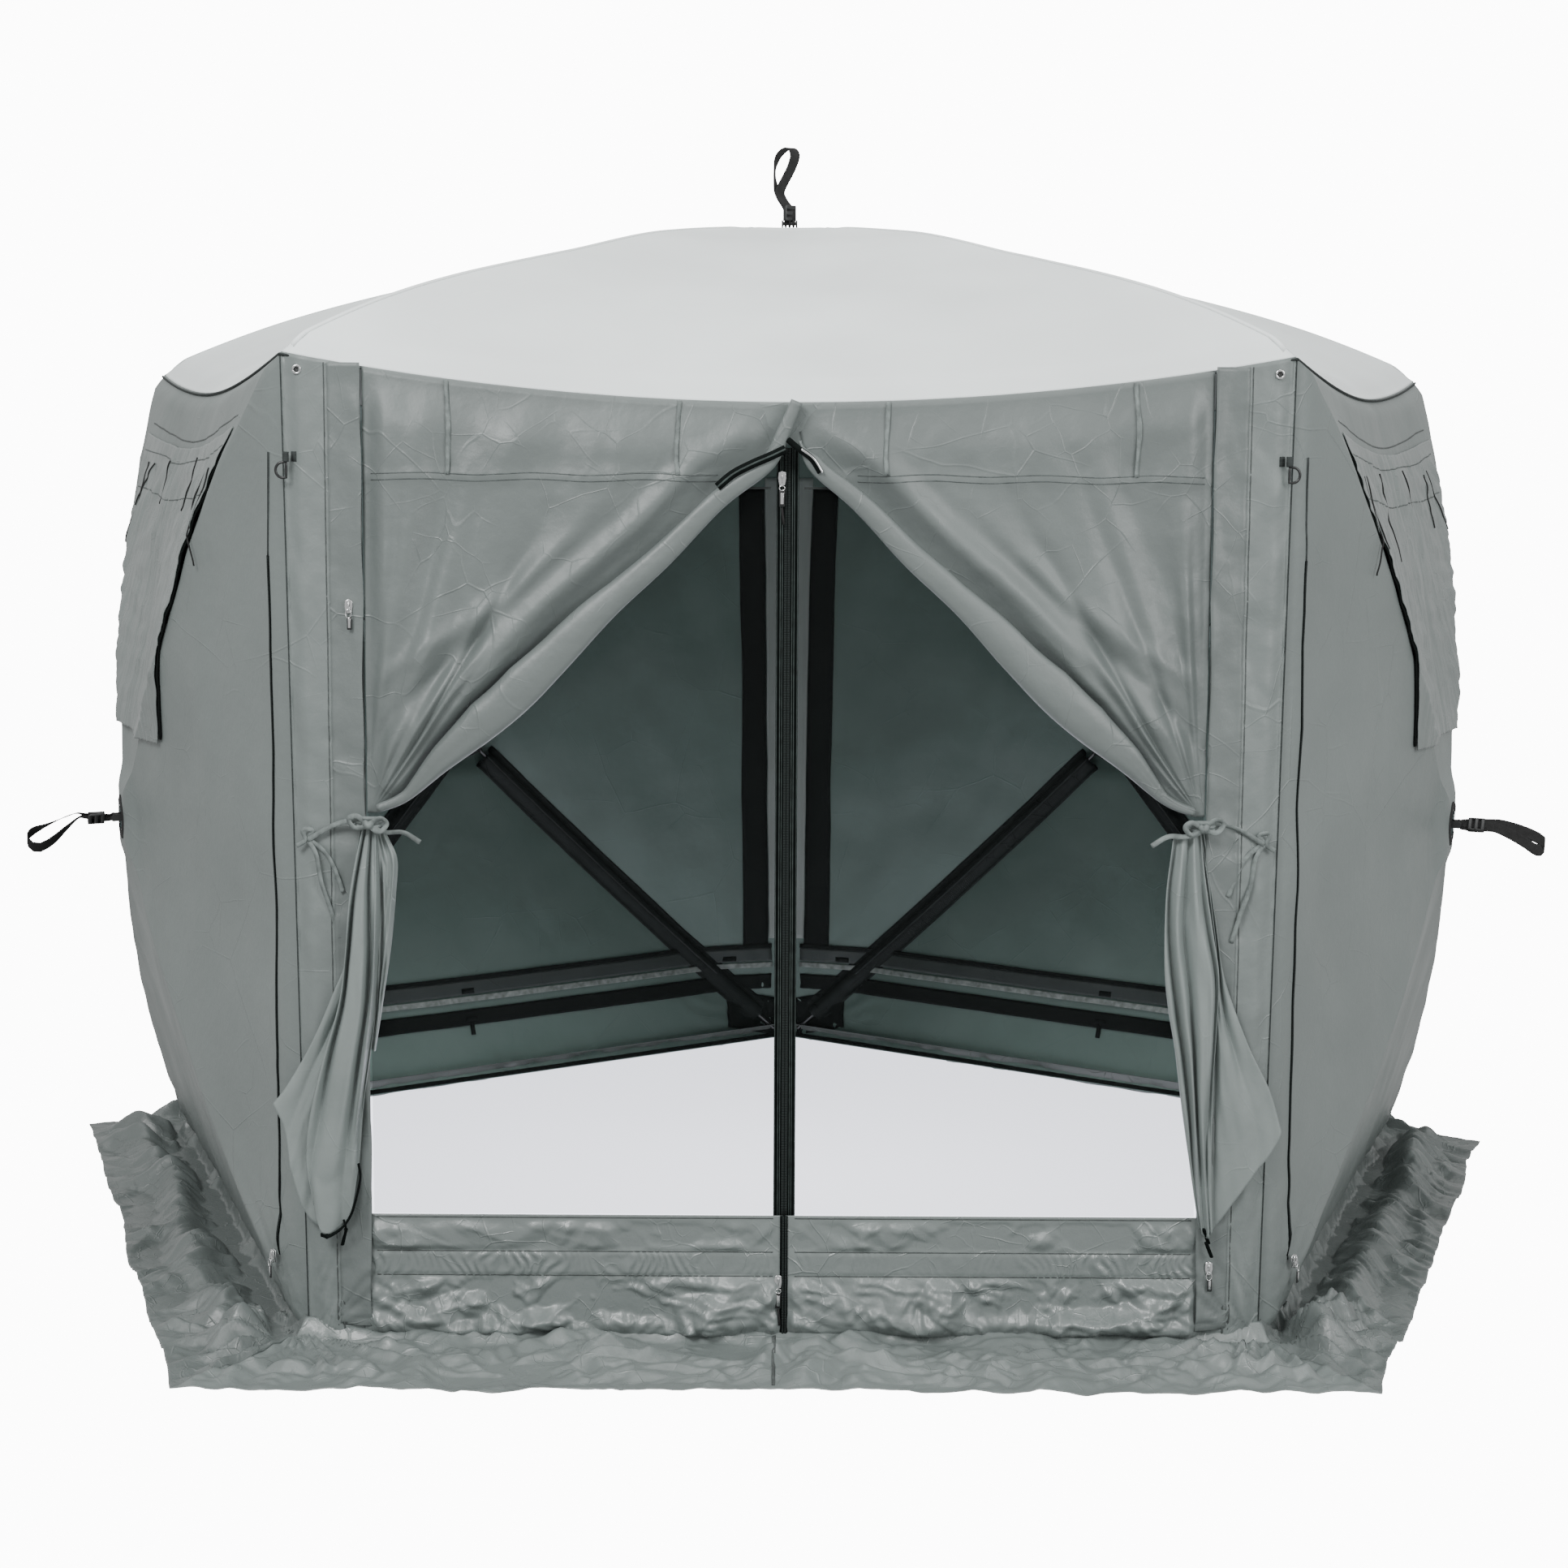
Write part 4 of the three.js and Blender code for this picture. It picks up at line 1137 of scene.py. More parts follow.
def storm_flap(label, side, low, high):
    """Narrow flap over the door flap's zip, sewn on its outer side and free on its inner one."""
    y = np.linspace(low, high, 220)[:, None]
    u = np.linspace(0, 1, 10)[None, :]
    free = 0.763 + 0.007 * noise(y * 2.3, y * 0, 51) + 0.004 * noise(y * 7, y * 0, 52)
    x = side * (0.822 + (free - 0.822) * u)
    lift = 0.0015 + 0.0150 * u**1.4 * (0.75 + 0.4 * noise(y * 4, u, 53 + side))
    wave = 0.0016 * noise(y * 13, u * 2, 55) * u
    z = front_z(x, y + 0 * u) + lift + wave
    grid = FRONT.world(np.stack([x, y + 0 * u, z], -1))
    piece = fixed(cloth(f"storm_flap_{label}", grid, FLAP, facing=FRONT.z))


# ---------------------------------------------------------------- door flaps


# Lower outline of a tied-back flap: distance from the middle of the tent, height.
FLAP_EDGE = [
    (-0.026, 1.742), (-0.004, 1.684), (0.026, 1.618), (0.115, 1.543), (0.210, 1.440),
    (0.305, 1.351), (0.388, 1.262), (0.458, 1.191), (0.528, 1.134), (0.610, 1.076),
    (0.686, 1.018), (0.744, 0.996),
]
# Half the width of its rolled edge, by distance from the tie.
ROLL_REACH = (0.0, 0.08, 0.17, 0.27, 0.37, 0.48, 0.60, 0.95, 1.1)
ROLL_HALF = (0.007, 0.010, 0.024, 0.035, 0.037, 0.032, 0.024, 0.014, 0.010)


def flap_edge(count):
    edge = through(FLAP_EDGE, count)
    edge[:, 1] = front_y(edge[:, 1])
    return edge


def roll_half(ax, y):
    reach = np.hypot(TIE[0] - ax, y - front_y(TIE[1]))
    return np.interp(reach, ROLL_REACH, ROLL_HALF)


def edge_gap(ax, y):
    """How far above the flap's lower outline a point lies."""
    edge = flap_edge(260)
    gap = np.full(np.broadcast(ax, y).shape, 9.0)
    for ex, ey in edge:
        gap = np.minimum(gap, np.hypot(ax - ex, y - ey))
    return gap


def flap_face(x, y, side, seed):
    """Outer face of a tied-back door flap above its tie. Folds run to the tie."""
    ax = side * np.asarray(x, float)
    tie_y = front_y(TIE[1])
    dx, dy = TIE[0] + 0.006 - ax, y - tie_y
    reach = np.hypot(dx, dy)
    q = np.clip(np.arctan2(np.maximum(dx, 0), dy) / 0.83, 0, 1.2)
    swell = np.exp(-((reach / 0.42) ** 2))
    bent = q * 5.2 + 0.7 * noise(q * 3.6, reach * 1.8, seed)
    pleat = 0.5 + 0.5 * np.cos(2 * math.pi * bent)
    folds = 0.062 * reach * pleat**0.8 * swell
    wide = 0.5 + 0.5 * np.cos(2 * math.pi * (q * 2.3 + 0.5 * noise(q * 2, reach, seed + 2)))
    folds = folds + 0.015 * wide * smooth(reach, 0.08, 0.3) * np.exp(-((reach / 0.75) ** 2))
    gap = edge_gap(ax, y)
    half = roll_half(ax, y)
    above = gap - 1.75 * half
    rise = smooth(above, -0.004, 0.030 + 0.02 * smooth(reach, 0.3, 0.9))
    crest = 0.017 * bell(above, 0.052, 0.020) * smooth(reach, 0.04, 0.2)
    crest = crest * (1 - 0.7 * smooth(reach, 0.55, 0.95))
    groove = 0.010 * bell(above, 0.088, 0.013) * np.exp(-((reach / 0.5) ** 2))
    second = 0.008 * bell(above, 0.125 + 0.02 * np.sin(reach * 9), 0.018) * (
        smooth(reach, 0.1, 0.3) * (1 - smooth(reach, 0.5, 0.8)))
    drape = 0.0055 * noise(ax * 4.3, y * 2.4, seed + 4) + 0.0020 * noise(ax * 13, y * 8, seed + 5)
    dents = 0.0160 * (facets(ax, y * 0.8, seed + 7, 0.17, 3) - 0.25)
    hang = smooth(eave_y(x) - y, 0.0, 0.10)
    jamb = smooth(TIE[0] + 0.002 - ax, 0, 0.038)
    seam_row = bell(y, front_y(1.583), 0.012)
    pucker = (0.0011 * noise(ax / 0.013, y * 40, seed + 6) + 0.0018) * seam_row
    base = FRONT_FACE + 0.0040 + 0.016 * hang * jamb * rise
    body = (folds + crest - groove + second + drape + dents) * hang * (0.15 + 0.85 * jamb) * rise
    return np.clip(base + body + pucker * hang, FRONT_FACE + 0.0032, 0.066)


def flap_point(u, v, side):
    """Plan of the flap: u from the jamb, 0, to its free edge, 1; v from the top, 0, to the tie."""
    edge = flap_edge(200)
    if side > 0:
        edge[:, 0] += 0.022 * (1 - smooth(np.linspace(0, 1, 200), 0, 0.25))
    at = np.linspace(0, 1, 200)
    edge_x, edge_y = np.interp(v, at, edge[:, 0]), np.interp(v, at, edge[:, 1])
    jamb_x = TIE[0] + 0.008 + 0 * v
    jamb_y = float(eave_y(TIE[0])) * (1 - v) + (front_y(TIE[1]) + 0.006) * v
    ax = jamb_x * (1 - u) + edge_x * u
    straight = jamb_y * (1 - u) + edge_y * u
    chord = float(eave_y(TIE[0])) * (1 - u) + edge[0, 1] * u
    y = straight + (eave_y(ax) - 0.002 - chord) * (1 - v) ** 3
    return side * ax, y


def door_flap(label, side, seed):
    u = np.linspace(0, 1, 120)[None, :]
    v = (np.linspace(0, 1, 130) ** 0.9)[:, None]
    x, y = flap_point((u + 0 * v) * 0.992, v + 0 * u, side)
    z = flap_face(x, y, side, seed)
    grid = FRONT.world(np.stack([x, y, z], -1))
    piece = fixed(cloth(f"door_flap_upper_{label}", grid, FLAP, facing=FRONT.z),
                  stands_for=[f"door_flap_{label}"])

    def face(px, py):
        return flap_face(px, py, side, seed)

    flap_roll(label, side, seed)
    seam_y = front_y(1.583)
    for k, shift in enumerate((-0.0055, 0.0055)):
        path = [(side * a, seam_y + shift + 0.002 * math.sin(a * 31)) for a in
                np.linspace(0.745, 0.125, 14)]
        fixed(strip(f"flap_stitching_{label}_{k + 1}", FRONT, face, path, 0.0016, SEAM, 0.0004,
                    0.0007, 0.006))
    keepers = (0.610, 0.193) if side < 0 else (0.180, 0.619)
    for k, ax in enumerate(keepers):
        top = float(eave_y(ax)) - 0.002
        sway = 0.003 if k else -0.003
        path = [(side * ax, top), (side * (ax + sway), top - 0.04),
                (side * (ax + 2 * sway), top - 0.09), (side * (ax + sway), front_y(1.588))]
        fixed(strip(f"keeper_ribbon_{label}_{k + 1}", FRONT, face, path, 0.008, RIBBON, 0.0030,
                    0.0009, 0.006, wave=0.004, seed=k + seed))


# Zip tape on the rolled edge of the left flap: place along the front wall, height.
FLAP_TAPE = ((-0.004, 1.634), (-0.030, 1.622), (-0.064, 1.6075), (-0.098, 1.590), (-0.125, 1.568))


def flap_roll(label, side, seed):
    """Rolled free edge of a flap, from the middle of the header to the tie."""
    start = 0.0 if side < 0 else 0.07
    v = np.linspace(start, 0.995, 160)
    x, y = flap_point(np.ones_like(v), v, side)
    ax = side * x
    step = unit_rows(np.stack([np.gradient(ax), np.gradient(y)], -1))
    up = np.stack([-step[:, 1], step[:, 0]], -1)
    reach = np.hypot(TIE[0] - ax, y - front_y(TIE[1]))
    half = roll_half(ax, y) * (1 + 0.05 * noise(v * 9, v * 0, seed + 11))
    half = half * (smooth(v, 0.06, 0.12) if side > 0 else 1)
    half = np.maximum(half, 0.003)
    a = around(30)
    depth = 0.40 * half + 0.004
    lumps = 1 + 0.07 * noise(a[None] * 1.4, v[:, None] * 5, seed + 12)
    near = (1 - smooth(reach, 0.05, 0.30))[:, None]
    pinch = 0.13 * noise(a[None] * 3.5, v[:, None] * 2.0, seed + 13) * near
    across = half[:, None] * np.cos(a)[None] * (lumps + pinch)
    outward = depth[:, None] * np.sign(np.sin(a)) * np.abs(np.sin(a)) ** 0.8 * (lumps + 2 * pinch)
    seat = FRONT_FACE + 0.007 + depth + 0.010 * smooth(reach, 0.03, 0.2)
    shift = half[:, None] + across
    px = side * (ax[:, None] + shift * up[:, :1] * np.sign(up[:, 1:2]))
    py = y[:, None] + shift * up[:, 1:2] * np.sign(up[:, 1:2])
    pz = seat[:, None] + outward
    fixed(capped(f"door_flap_roll_{label}", FRONT.world(np.stack([px, py, pz], -1)), FLAP))
    if side < 0:
        z_tape = float(pz[9:39].max())
        tape = [(px, front_y(h)) for px, h in FLAP_TAPE]
        for part, width, look, lift in (("tape", 0.015, ZIP_TAPE, 0.0012),
                                        ("coil", 0.003, EDGE_TAPE, 0.0024)):
            fixed(strip(f"flap_edge_{part}_{label}", FRONT, lambda qx, qy: z_tape + 0 * qx, tape,
                        width, look, lift, 0.001, 0.008))


def capped(name, grid, material):
    """A closed skin over rings of points, with its two ends filled."""
    rows, columns = grid.shape[:2]
    r = np.arange(rows - 1)[:, None]
    c = np.arange(columns)[None, :]
    n = (c + 1) % columns
    quads = np.stack([r * columns + c, r * columns + n, (r + 1) * columns + n,
                      (r + 1) * columns + c], -1).reshape(-1, 4).tolist()
    quads.append(list(range(columns))[::-1])
    quads.append([(rows - 1) * columns + k for k in range(columns)])
    piece = make(name, grid.reshape(-1, 3), quads, [material], flat_map(grid).reshape(-1, 2))
    turn_outwards(piece)
    return piece


def hanging_lobe(name, edges, folds, depth, base, seed, curl):
    """One hanging fold of a tied flap, between outlines given as (distance out, height)."""
    top, bottom, left, right = [[(x, front_y(h)) for x, h in edge] for edge in edges]
    rows, columns = 120, 56
    flat = patch(top, bottom, left, right, rows, columns)
    v, u = shares(rows, columns)
    bent = u * folds + 0.45 * noise(u * 3, v * 2.2, seed) + 0.2 * v
    pleat = (0.5 + 0.5 * np.cos(2 * math.pi * bent)) ** 0.6
    deep = depth * (0.35 + 0.65 * np.sin(math.pi * np.clip(v * 1.15, 0, 1)) ** 0.7)
    curve = curl * (np.sin(math.pi * u) ** 0.5 - 0.4)
    fine = 0.0022 * noise(u * 7, v * 9, seed + 3)
    z = base + deep * pleat + curve * smooth(v, 0, 0.15) + fine
    grid = FRONT.world(raised(flat, z))
    return fixed(cloth(name, grid, GATHERED, facing=FRONT.z))


def lobe_edges(side, top, left, right, bottom):
    """Outline of a lobe, with every x mirrored for the left flap."""
    return [[(side * x, h) for x, h in edge] for edge in (top, bottom, left, right)]


def bundles():
    """The loose lower parts of both flaps, below their ties."""
    left_main = lobe_edges(
        -1,
        [(0.766, 0.975), (0.742, 0.972)],
        [(0.766, 0.975), (0.790, 0.86), (0.800, 0.74), (0.812, 0.65), (0.842, 0.55),
         (0.868, 0.45), (0.880, 0.36), (0.872, 0.28)],
        [(0.742, 0.972), (0.736, 0.85), (0.740, 0.72), (0.748, 0.63), (0.757, 0.56),
         (0.772, 0.46), (0.782, 0.349)],
        [(0.872, 0.28), (0.851, 0.215), (0.822, 0.222), (0.796, 0.262), (0.782, 0.349)],
    )
    left_flare = lobe_edges(
        -1,
        [(0.772, 0.975), (0.756, 0.975)],
        [(0.772, 0.975), (0.794, 0.84), (0.800, 0.735), (0.826, 0.665), (0.868, 0.57),
         (0.915, 0.489), (0.942, 0.454)],
        [(0.756, 0.975), (0.762, 0.82), (0.776, 0.66), (0.806, 0.50), (0.836, 0.33),
         (0.851, 0.215)],
        [(0.942, 0.454), (0.921, 0.406), (0.910, 0.33), (0.886, 0.25), (0.851, 0.215)],
    )
    left_strip = lobe_edges(
        -1,
        [(0.750, 0.972), (0.728, 0.965)],
        [(0.750, 0.972), (0.744, 0.85), (0.745, 0.74), (0.751, 0.64), (0.757, 0.56)],
        [(0.728, 0.965), (0.706, 0.915), (0.709, 0.851), (0.719, 0.747), (0.736, 0.643),
         (0.751, 0.555)],
        [(0.757, 0.56), (0.751, 0.555)],
    )
    right_main = lobe_edges(
        1,
        [(0.702, 0.962), (0.750, 0.972)],
        [(0.702, 0.962), (0.690, 0.86), (0.689, 0.73), (0.697, 0.65), (0.711, 0.573),
         (0.728, 0.454), (0.748, 0.336), (0.765, 0.235)],
        [(0.750, 0.972), (0.762, 0.88), (0.778, 0.78), (0.790, 0.70), (0.788, 0.60),
         (0.785, 0.50), (0.786, 0.36), (0.792, 0.225)],
        [(0.765, 0.235), (0.778, 0.214), (0.792, 0.225)],
    )
    right_flare = lobe_edges(
        1,
        [(0.738, 0.975), (0.760, 0.975)],
        [(0.738, 0.975), (0.765, 0.82), (0.778, 0.70), (0.776, 0.55), (0.778, 0.38),
         (0.785, 0.213)],
        [(0.760, 0.975), (0.785, 0.80), (0.803, 0.70), (0.848, 0.579), (0.892, 0.489),
         (0.917, 0.409)],
        [(0.785, 0.213), (0.809, 0.245), (0.856, 0.314), (0.8995, 0.374), (0.917, 0.409)],
    )
    lobes = (
        ("bundle_left_back", left_flare, 1.7, 0.014, 0.021, 61, 0.006),
        ("bundle_left_side", left_strip, 1.2, 0.014, 0.024, 62, 0.010),
        ("bundle_left_front", left_main, 2.4, 0.030, 0.032, 63, 0.012),
        ("bundle_right_back", right_flare, 1.8, 0.014, 0.021, 64, 0.006),
        ("bundle_right_front", right_main, 2.6, 0.028, 0.033, 65, 0.012),
    )
    for name, *shape in lobes:
        piece = hanging_lobe(name, *shape)


def bundle_tape():
    """Zip tape on the low edge of the left flap, and the dark tail under it."""
    at = [(-0.780, 0.352, 0.062), (-0.777, 0.325, 0.062), (-0.786, 0.284, 0.060),
          (-0.797, 0.252, 0.058), (-0.814, 0.228, 0.056), (-0.838, 0.212, 0.052),
          (-0.853, 0.213, 0.048)]
    path = [FRONT.world([x, front_y(h), z]) for x, h, z in at]
    fixed(tube("bundle_zip_tape_left", through(path, 60), 0.0052, ZIP_TAPE, 8, squash=0.45,
               up=FRONT.x))
    hook = [(0.000, 1.650, 0.046), (0.020, 1.634, 0.054), (0.042, 1.618, 0.056),
            (0.058, 1.594, 0.054)]
    path = [FRONT.world([x, front_y(h), z]) for x, h, z in hook]
    fixed(tube("flap_zip_end_right", through(path, 30), 0.0055, ZIP_TAPE, 8, squash=0.6,
               up=FRONT.z))
    stop = [(x + 0.004, front_y(h), z + 0.005) for x, h, z in hook[1:]]
    fixed(tube("flap_zip_stop_right", through(FRONT.world(np.asarray(stop)), 24), 0.0022, CHROME,
               8, up=FRONT.z))
    tail = [(-0.812, 0.240, 0.040), (-0.808, 0.222, 0.040), (-0.812, 0.205, 0.038),
            (-0.816, 0.190, 0.034)]
    path = [FRONT.world([x, front_y(h), z]) for x, h, z in tail]
    fixed(tube("bundle_tail_left", through(path, 24), 0.0042, ZIP_TAPE, 8, squash=0.5))
    for k, (x, h) in enumerate(((0.773, 0.232), (0.779, 0.206))):
        path = [FRONT.world([x + 0.004 * j, front_y(h - 0.010 * j), 0.044 - 0.003 * j])
                for j in range(4)]
        fixed(tube(f"bundle_tail_right_{k + 1}", through(path, 20), 0.0044, ZIP_TAPE, 8,
                   squash=0.6))


def ribbon(name, path, width, twist):
    """A free ribbon along world points, facing forwards and turned most at its middle."""
    line = through(path, max(12, len(path) * 7))
    along = unit_rows(np.gradient(line, axis=0))
    side = unit_rows(np.cross(along, FRONT.z))
    turn = twist * np.sin(np.linspace(0, math.pi, len(line)))[:, None]
    side = side * np.cos(turn) + np.cross(along, side) * np.sin(turn)
    s = np.array([-0.5, 0, 0.5])
    grid = line[:, None] + side[:, None] * s[None, :, None] * width
    fixed(cloth(name, grid, RIBBON, thick=0.0009))


def flap_ties():
    """Ribbon bows that hold the flaps back, and the spare ribbons on the corner seams."""
    for label, side in DOOR_SIDES:
        x0, y0 = TIE[0] + 0.002, front_y(TIE[1]) - 0.010

        def at(dx, dh, z, s=side):
            """dx away from the middle of the tent, dh up."""
            return FRONT.world([s * (x0 + dx), y0 + dh, z])

        loops = []
        for k in range(3):
            tilt = 0.004 * (k - 1)
            ring = [at(0.0225 * math.cos(a), 0.004 * (k - 1) + tilt * math.sin(a) + 0.003,
                       0.036 + 0.0215 * math.sin(a)) for a in around(40)]
            loops.append(tube(f"tie_turn_{label}_{k}", ring, 0.0042, RIBBON, 8, closed=True))
        fixed(joined(f"flap_tie_{label}", loops))
        knot = [at(-0.006, 0.004, 0.056), at(0.0, -0.002, 0.061), at(0.006, 0.005, 0.056)]
        fixed(tube(f"tie_knot_{label}", through(knot, 12), 0.0065, RIBBON, 10))
        ends = {
            "bow_inner": [at(0, 0, 0.058), at(-0.022, 0.012, 0.062), at(-0.034, 0.002, 0.060),
                          at(-0.020, -0.012, 0.060), at(0, -0.001, 0.060)],
            "bow_outer": [at(0, 0, 0.058), at(0.020, 0.016, 0.060), at(0.036, 0.010, 0.056),
                          at(0.024, -0.006, 0.058), at(0, -0.002, 0.060)],
            "end_inner": [at(0, -0.002, 0.060), at(-0.030, -0.014, 0.056),
                          at(-0.062, -0.016, 0.046), at(-0.092, -0.034, 0.044)],
            "end_outer": [at(0, 0.002, 0.058), at(0.030, 0.006, 0.046), at(0.068, -0.006, 0.030),
                          at(0.116, -0.034, 0.024)],
        }
        for key, path in ends.items():
            ribbon(f"tie_{key}_{label}", path, 0.0095, 0.5)
        corner = {
            "bow": [at(0.116, -0.032, 0.022), at(0.106, -0.016, 0.026), at(0.124, -0.014, 0.026),
                    at(0.120, -0.034, 0.024), at(0.136, -0.046, 0.020)],
            "tail_long": [at(0.116, -0.032, 0.023), at(0.100, -0.060, 0.026),
                          at(0.092, -0.110, 0.025), at(0.076, -0.160, 0.024),
                          at(0.060, -0.215, 0.024)],
            "tail_short": [at(0.112, -0.034, 0.023), at(0.088, -0.052, 0.025),
                           at(0.070, -0.080, 0.024), at(0.052, -0.130, 0.024)],
        }
        for key, path in corner.items():
            ribbon(f"corner_tie_{key}_{label}", path, 0.0085, 0.35)


def screens():
    """The two halves of the screen door: net above, gathered cloth sill below."""
    top, foot = front_y(DOOR_TOP), -DOWN
    sill = front_y(SILL_TOP)
    for label, side in DOOR_SIDES:
        body = f"door_{label}"
        v, u = shares(90, 50)
        x = side * (0.0016 + (DOOR_HALF - 0.0016) * u) + 0 * v
        y = sill + 0.0006 + (top - sill) * v + 0 * u
        z = 0.0145 + 0.0007 * noise(x * 4, y * 4, 71) * np.sin(math.pi * u) * np.sin(math.pi * v)
        net = cloth(f"screen_net_{label}", FRONT.world(np.stack([x, y, z], -1)), MESH,
                    facing=FRONT.z, thick=0.0005)
        fixed(net, body, [f"screen_{label}"])
        sill_cloth(label, side, body, foot, sill)

        def flat_face(px, py):
            return 0.0150 + 0 * (px + py)

        edge = side * (DOOR_HALF - 0.009)
        path = [(side * 0.03, top - 0.008), (side * 0.4, top - 0.008), (edge, top - 0.008)]
        fixed(strip(f"screen_hem_head_{label}", FRONT, flat_face, path, 0.016, BINDING, 0.0009),
              body)
        fixed(strip(f"screen_seam_{label}", FRONT, flat_face,
                    [(side * 0.03, front_y(1.565)), (side * 0.4, front_y(1.562)),
                     (edge, front_y(1.565))], 0.004, BINDING, 0.0006), body)
        lap = 0.002 if side < 0 else 0.0  # the left half of the zip goes under the right one
        tape_x = side * 0.0102 + lap
        line = [(tape_x, sill - 0.004), (tape_x, sill + 0.6), (tape_x, top)]
        fixed(strip(f"door_zip_tape_{label}", FRONT, flat_face, line, 0.0196 + 2 * lap, ZIP_TAPE,
                    0.0012 - 0.3 * lap, 0.0012, 0.02), body)
        for k, at in enumerate((0.0031, 0.0088, 0.0125, 0.0186)):
            rib = [(side * at, sill - 0.004), (side * at, sill + 0.6), (side * at, top)]
            fixed(strip(f"door_zip_rib_{k + 1}_{label}", FRONT, flat_face, rib,
                        0.0056 if k == 0 else 0.0013, EDGE_TAPE if k else ZIP_COIL, 0.0026,
                        0.0014, 0.02), body)
        low = [(side * 0.0036 + lap, y) for y in (foot + 0.004, (foot + sill) / 2, sill)]
        for part, look, width, lift in (("tape", ZIP_TAPE, 0.0070 + 2 * lap, 0.0012 - 0.3 * lap),
                                        ("coil", ZIP_COIL, 0.0040, 0.0030)):
            fixed(strip(f"sill_zip_{part}_{label}", FRONT, lambda px, py: 0.0200 + 0 * (px + py),
                        low, width, look, lift, 0.0022, 0.008), body)


SILL_SEAMS = (0.070, 0.116)  # below the sill's top edge


def sill_fold(x, y, foot, sill):
    """How far the sill's gathered cloth stands out."""
    drop = sill - y
    seam = bell(drop, SILL_SEAMS[0], 0.004) + bell(drop, SILL_SEAMS[1], 0.004)
    low = smooth(drop, 0.112, 0.14)
    mid = smooth(drop, 0.008, 0.03) * (1 - smooth(drop, 0.056, 0.070))
    band = smooth(drop, 0.066, 0.078) * (1 - smooth(drop, 0.108, 0.120))
    below = facets(x, y * 1.2, 81, 0.088, 3) - 0.22 + 0.5 * (facets(x, y, 85, 0.22, 2) - 0.2)
    soft = facets(x, y * 1.1, 82, 0.12, 3) - 0.25
    row = x / 0.019 + 1.9 * noise(x * 12, y * 16, 83)
    where = band + 0.4 * bell(drop, 0.13, 0.02)
    gather = 0.0042 * (0.6 + noise(x * 9, y * 5, 86)) * zigzag(row) * where
    foot_roll = 0.014 * bell(y, foot + 0.030, 0.016) * (0.7 + 0.5 * noise(x * 8, 0 * x, 84))
    return 0.052 * below * low + 0.036 * soft * mid + gather + foot_roll - 0.001 * seam


def sill_cloth(label, side, body, foot, sill):
    v, u = shares(80, 290)
    x = side * (0.0016 + (DOOR_HALF + 0.018) * u) + 0 * v
    y = foot + (sill - foot) * v + 0 * u
    held = smooth(u, 0, 0.03) * smooth(1 - u, 0, 0.04) * smooth(y - foot, 0, 0.02)
    z = np.maximum(0.0185 + sill_fold(x, y, foot, sill) * held, 0.0165)
    grid = FRONT.world(np.stack([x, y, z], -1))
    piece = fixed(cloth(f"sill_cloth_{label}", grid, RUMPLED, facing=FRONT.z, lining=LINING),
                  body, [f"sill_{label}"])

    def face(px, py):
        return np.maximum(0.0185 + sill_fold(px, py, foot, sill), 0.0165)

    for k, drop in enumerate((0.0055, *SILL_SEAMS)):
        path = [(side * a, sill - drop) for a in np.linspace(0.02, DOOR_HALF - 0.005, 12)]
        fixed(strip(f"sill_stitching_{label}_{k + 1}", FRONT, face, path, 0.0020, THREAD, 0.0004,
                    0.0007, 0.006), body=body)


# ---------------------------------------------------------------- wind panels, skirts


# A wind panel's lower edge, and half its width by share of the way down it.
WIND_FOOT = 0.180
WIND_HALF = ((0.0, 0.7, 1.0), (0.715, 0.340, 0.295))


def wind_point(u, v):
    """A wind panel's point: u from side to side, -1 to 1, v from its top, 0, to its foot."""
    x = u * np.interp(v, *WIND_HALF)
    top = 0.722 + 0.105 * x**2
    return x, top + (WIND_FOOT - top) * v


def wind_z(x, y, seed):
    """Outer face of a wind panel: it hugs the wall, pleated downwards and creased crosswise."""
    v = np.clip((0.755 - y) / 0.56, 0, 1)
    base = wall_z(x, y, seed) + 0.0035 + 0.004 * smooth(v, 0.2, 0.45)
    folds = 0.010 * (facets(x, y * 0.8, 90 + seed, 0.12, 3) - 0.15)
    down = 0.0045 * np.abs(noise(x / 0.024, y / 0.30, 94 + seed)) * smooth(v, 0.1, 0.3)
    row = y / 0.062 + 0.7 * noise(x * 3.5, y * 5, 91 + seed)
    bands = 0.0045 * zigzag(row) * smooth(v, 0.05, 0.2)
    bands = bands * smooth(noise(x * 6, y * 6, 93 + seed), -0.3, 0.5)
    gathers = 0.010 * np.abs(noise(x / 0.060, y / 0.10, 92 + seed)) * (1 - smooth(v, 0.2, 0.50))
    return base + (folds + bands + down + gathers) * smooth(v, 0.0, 0.10)


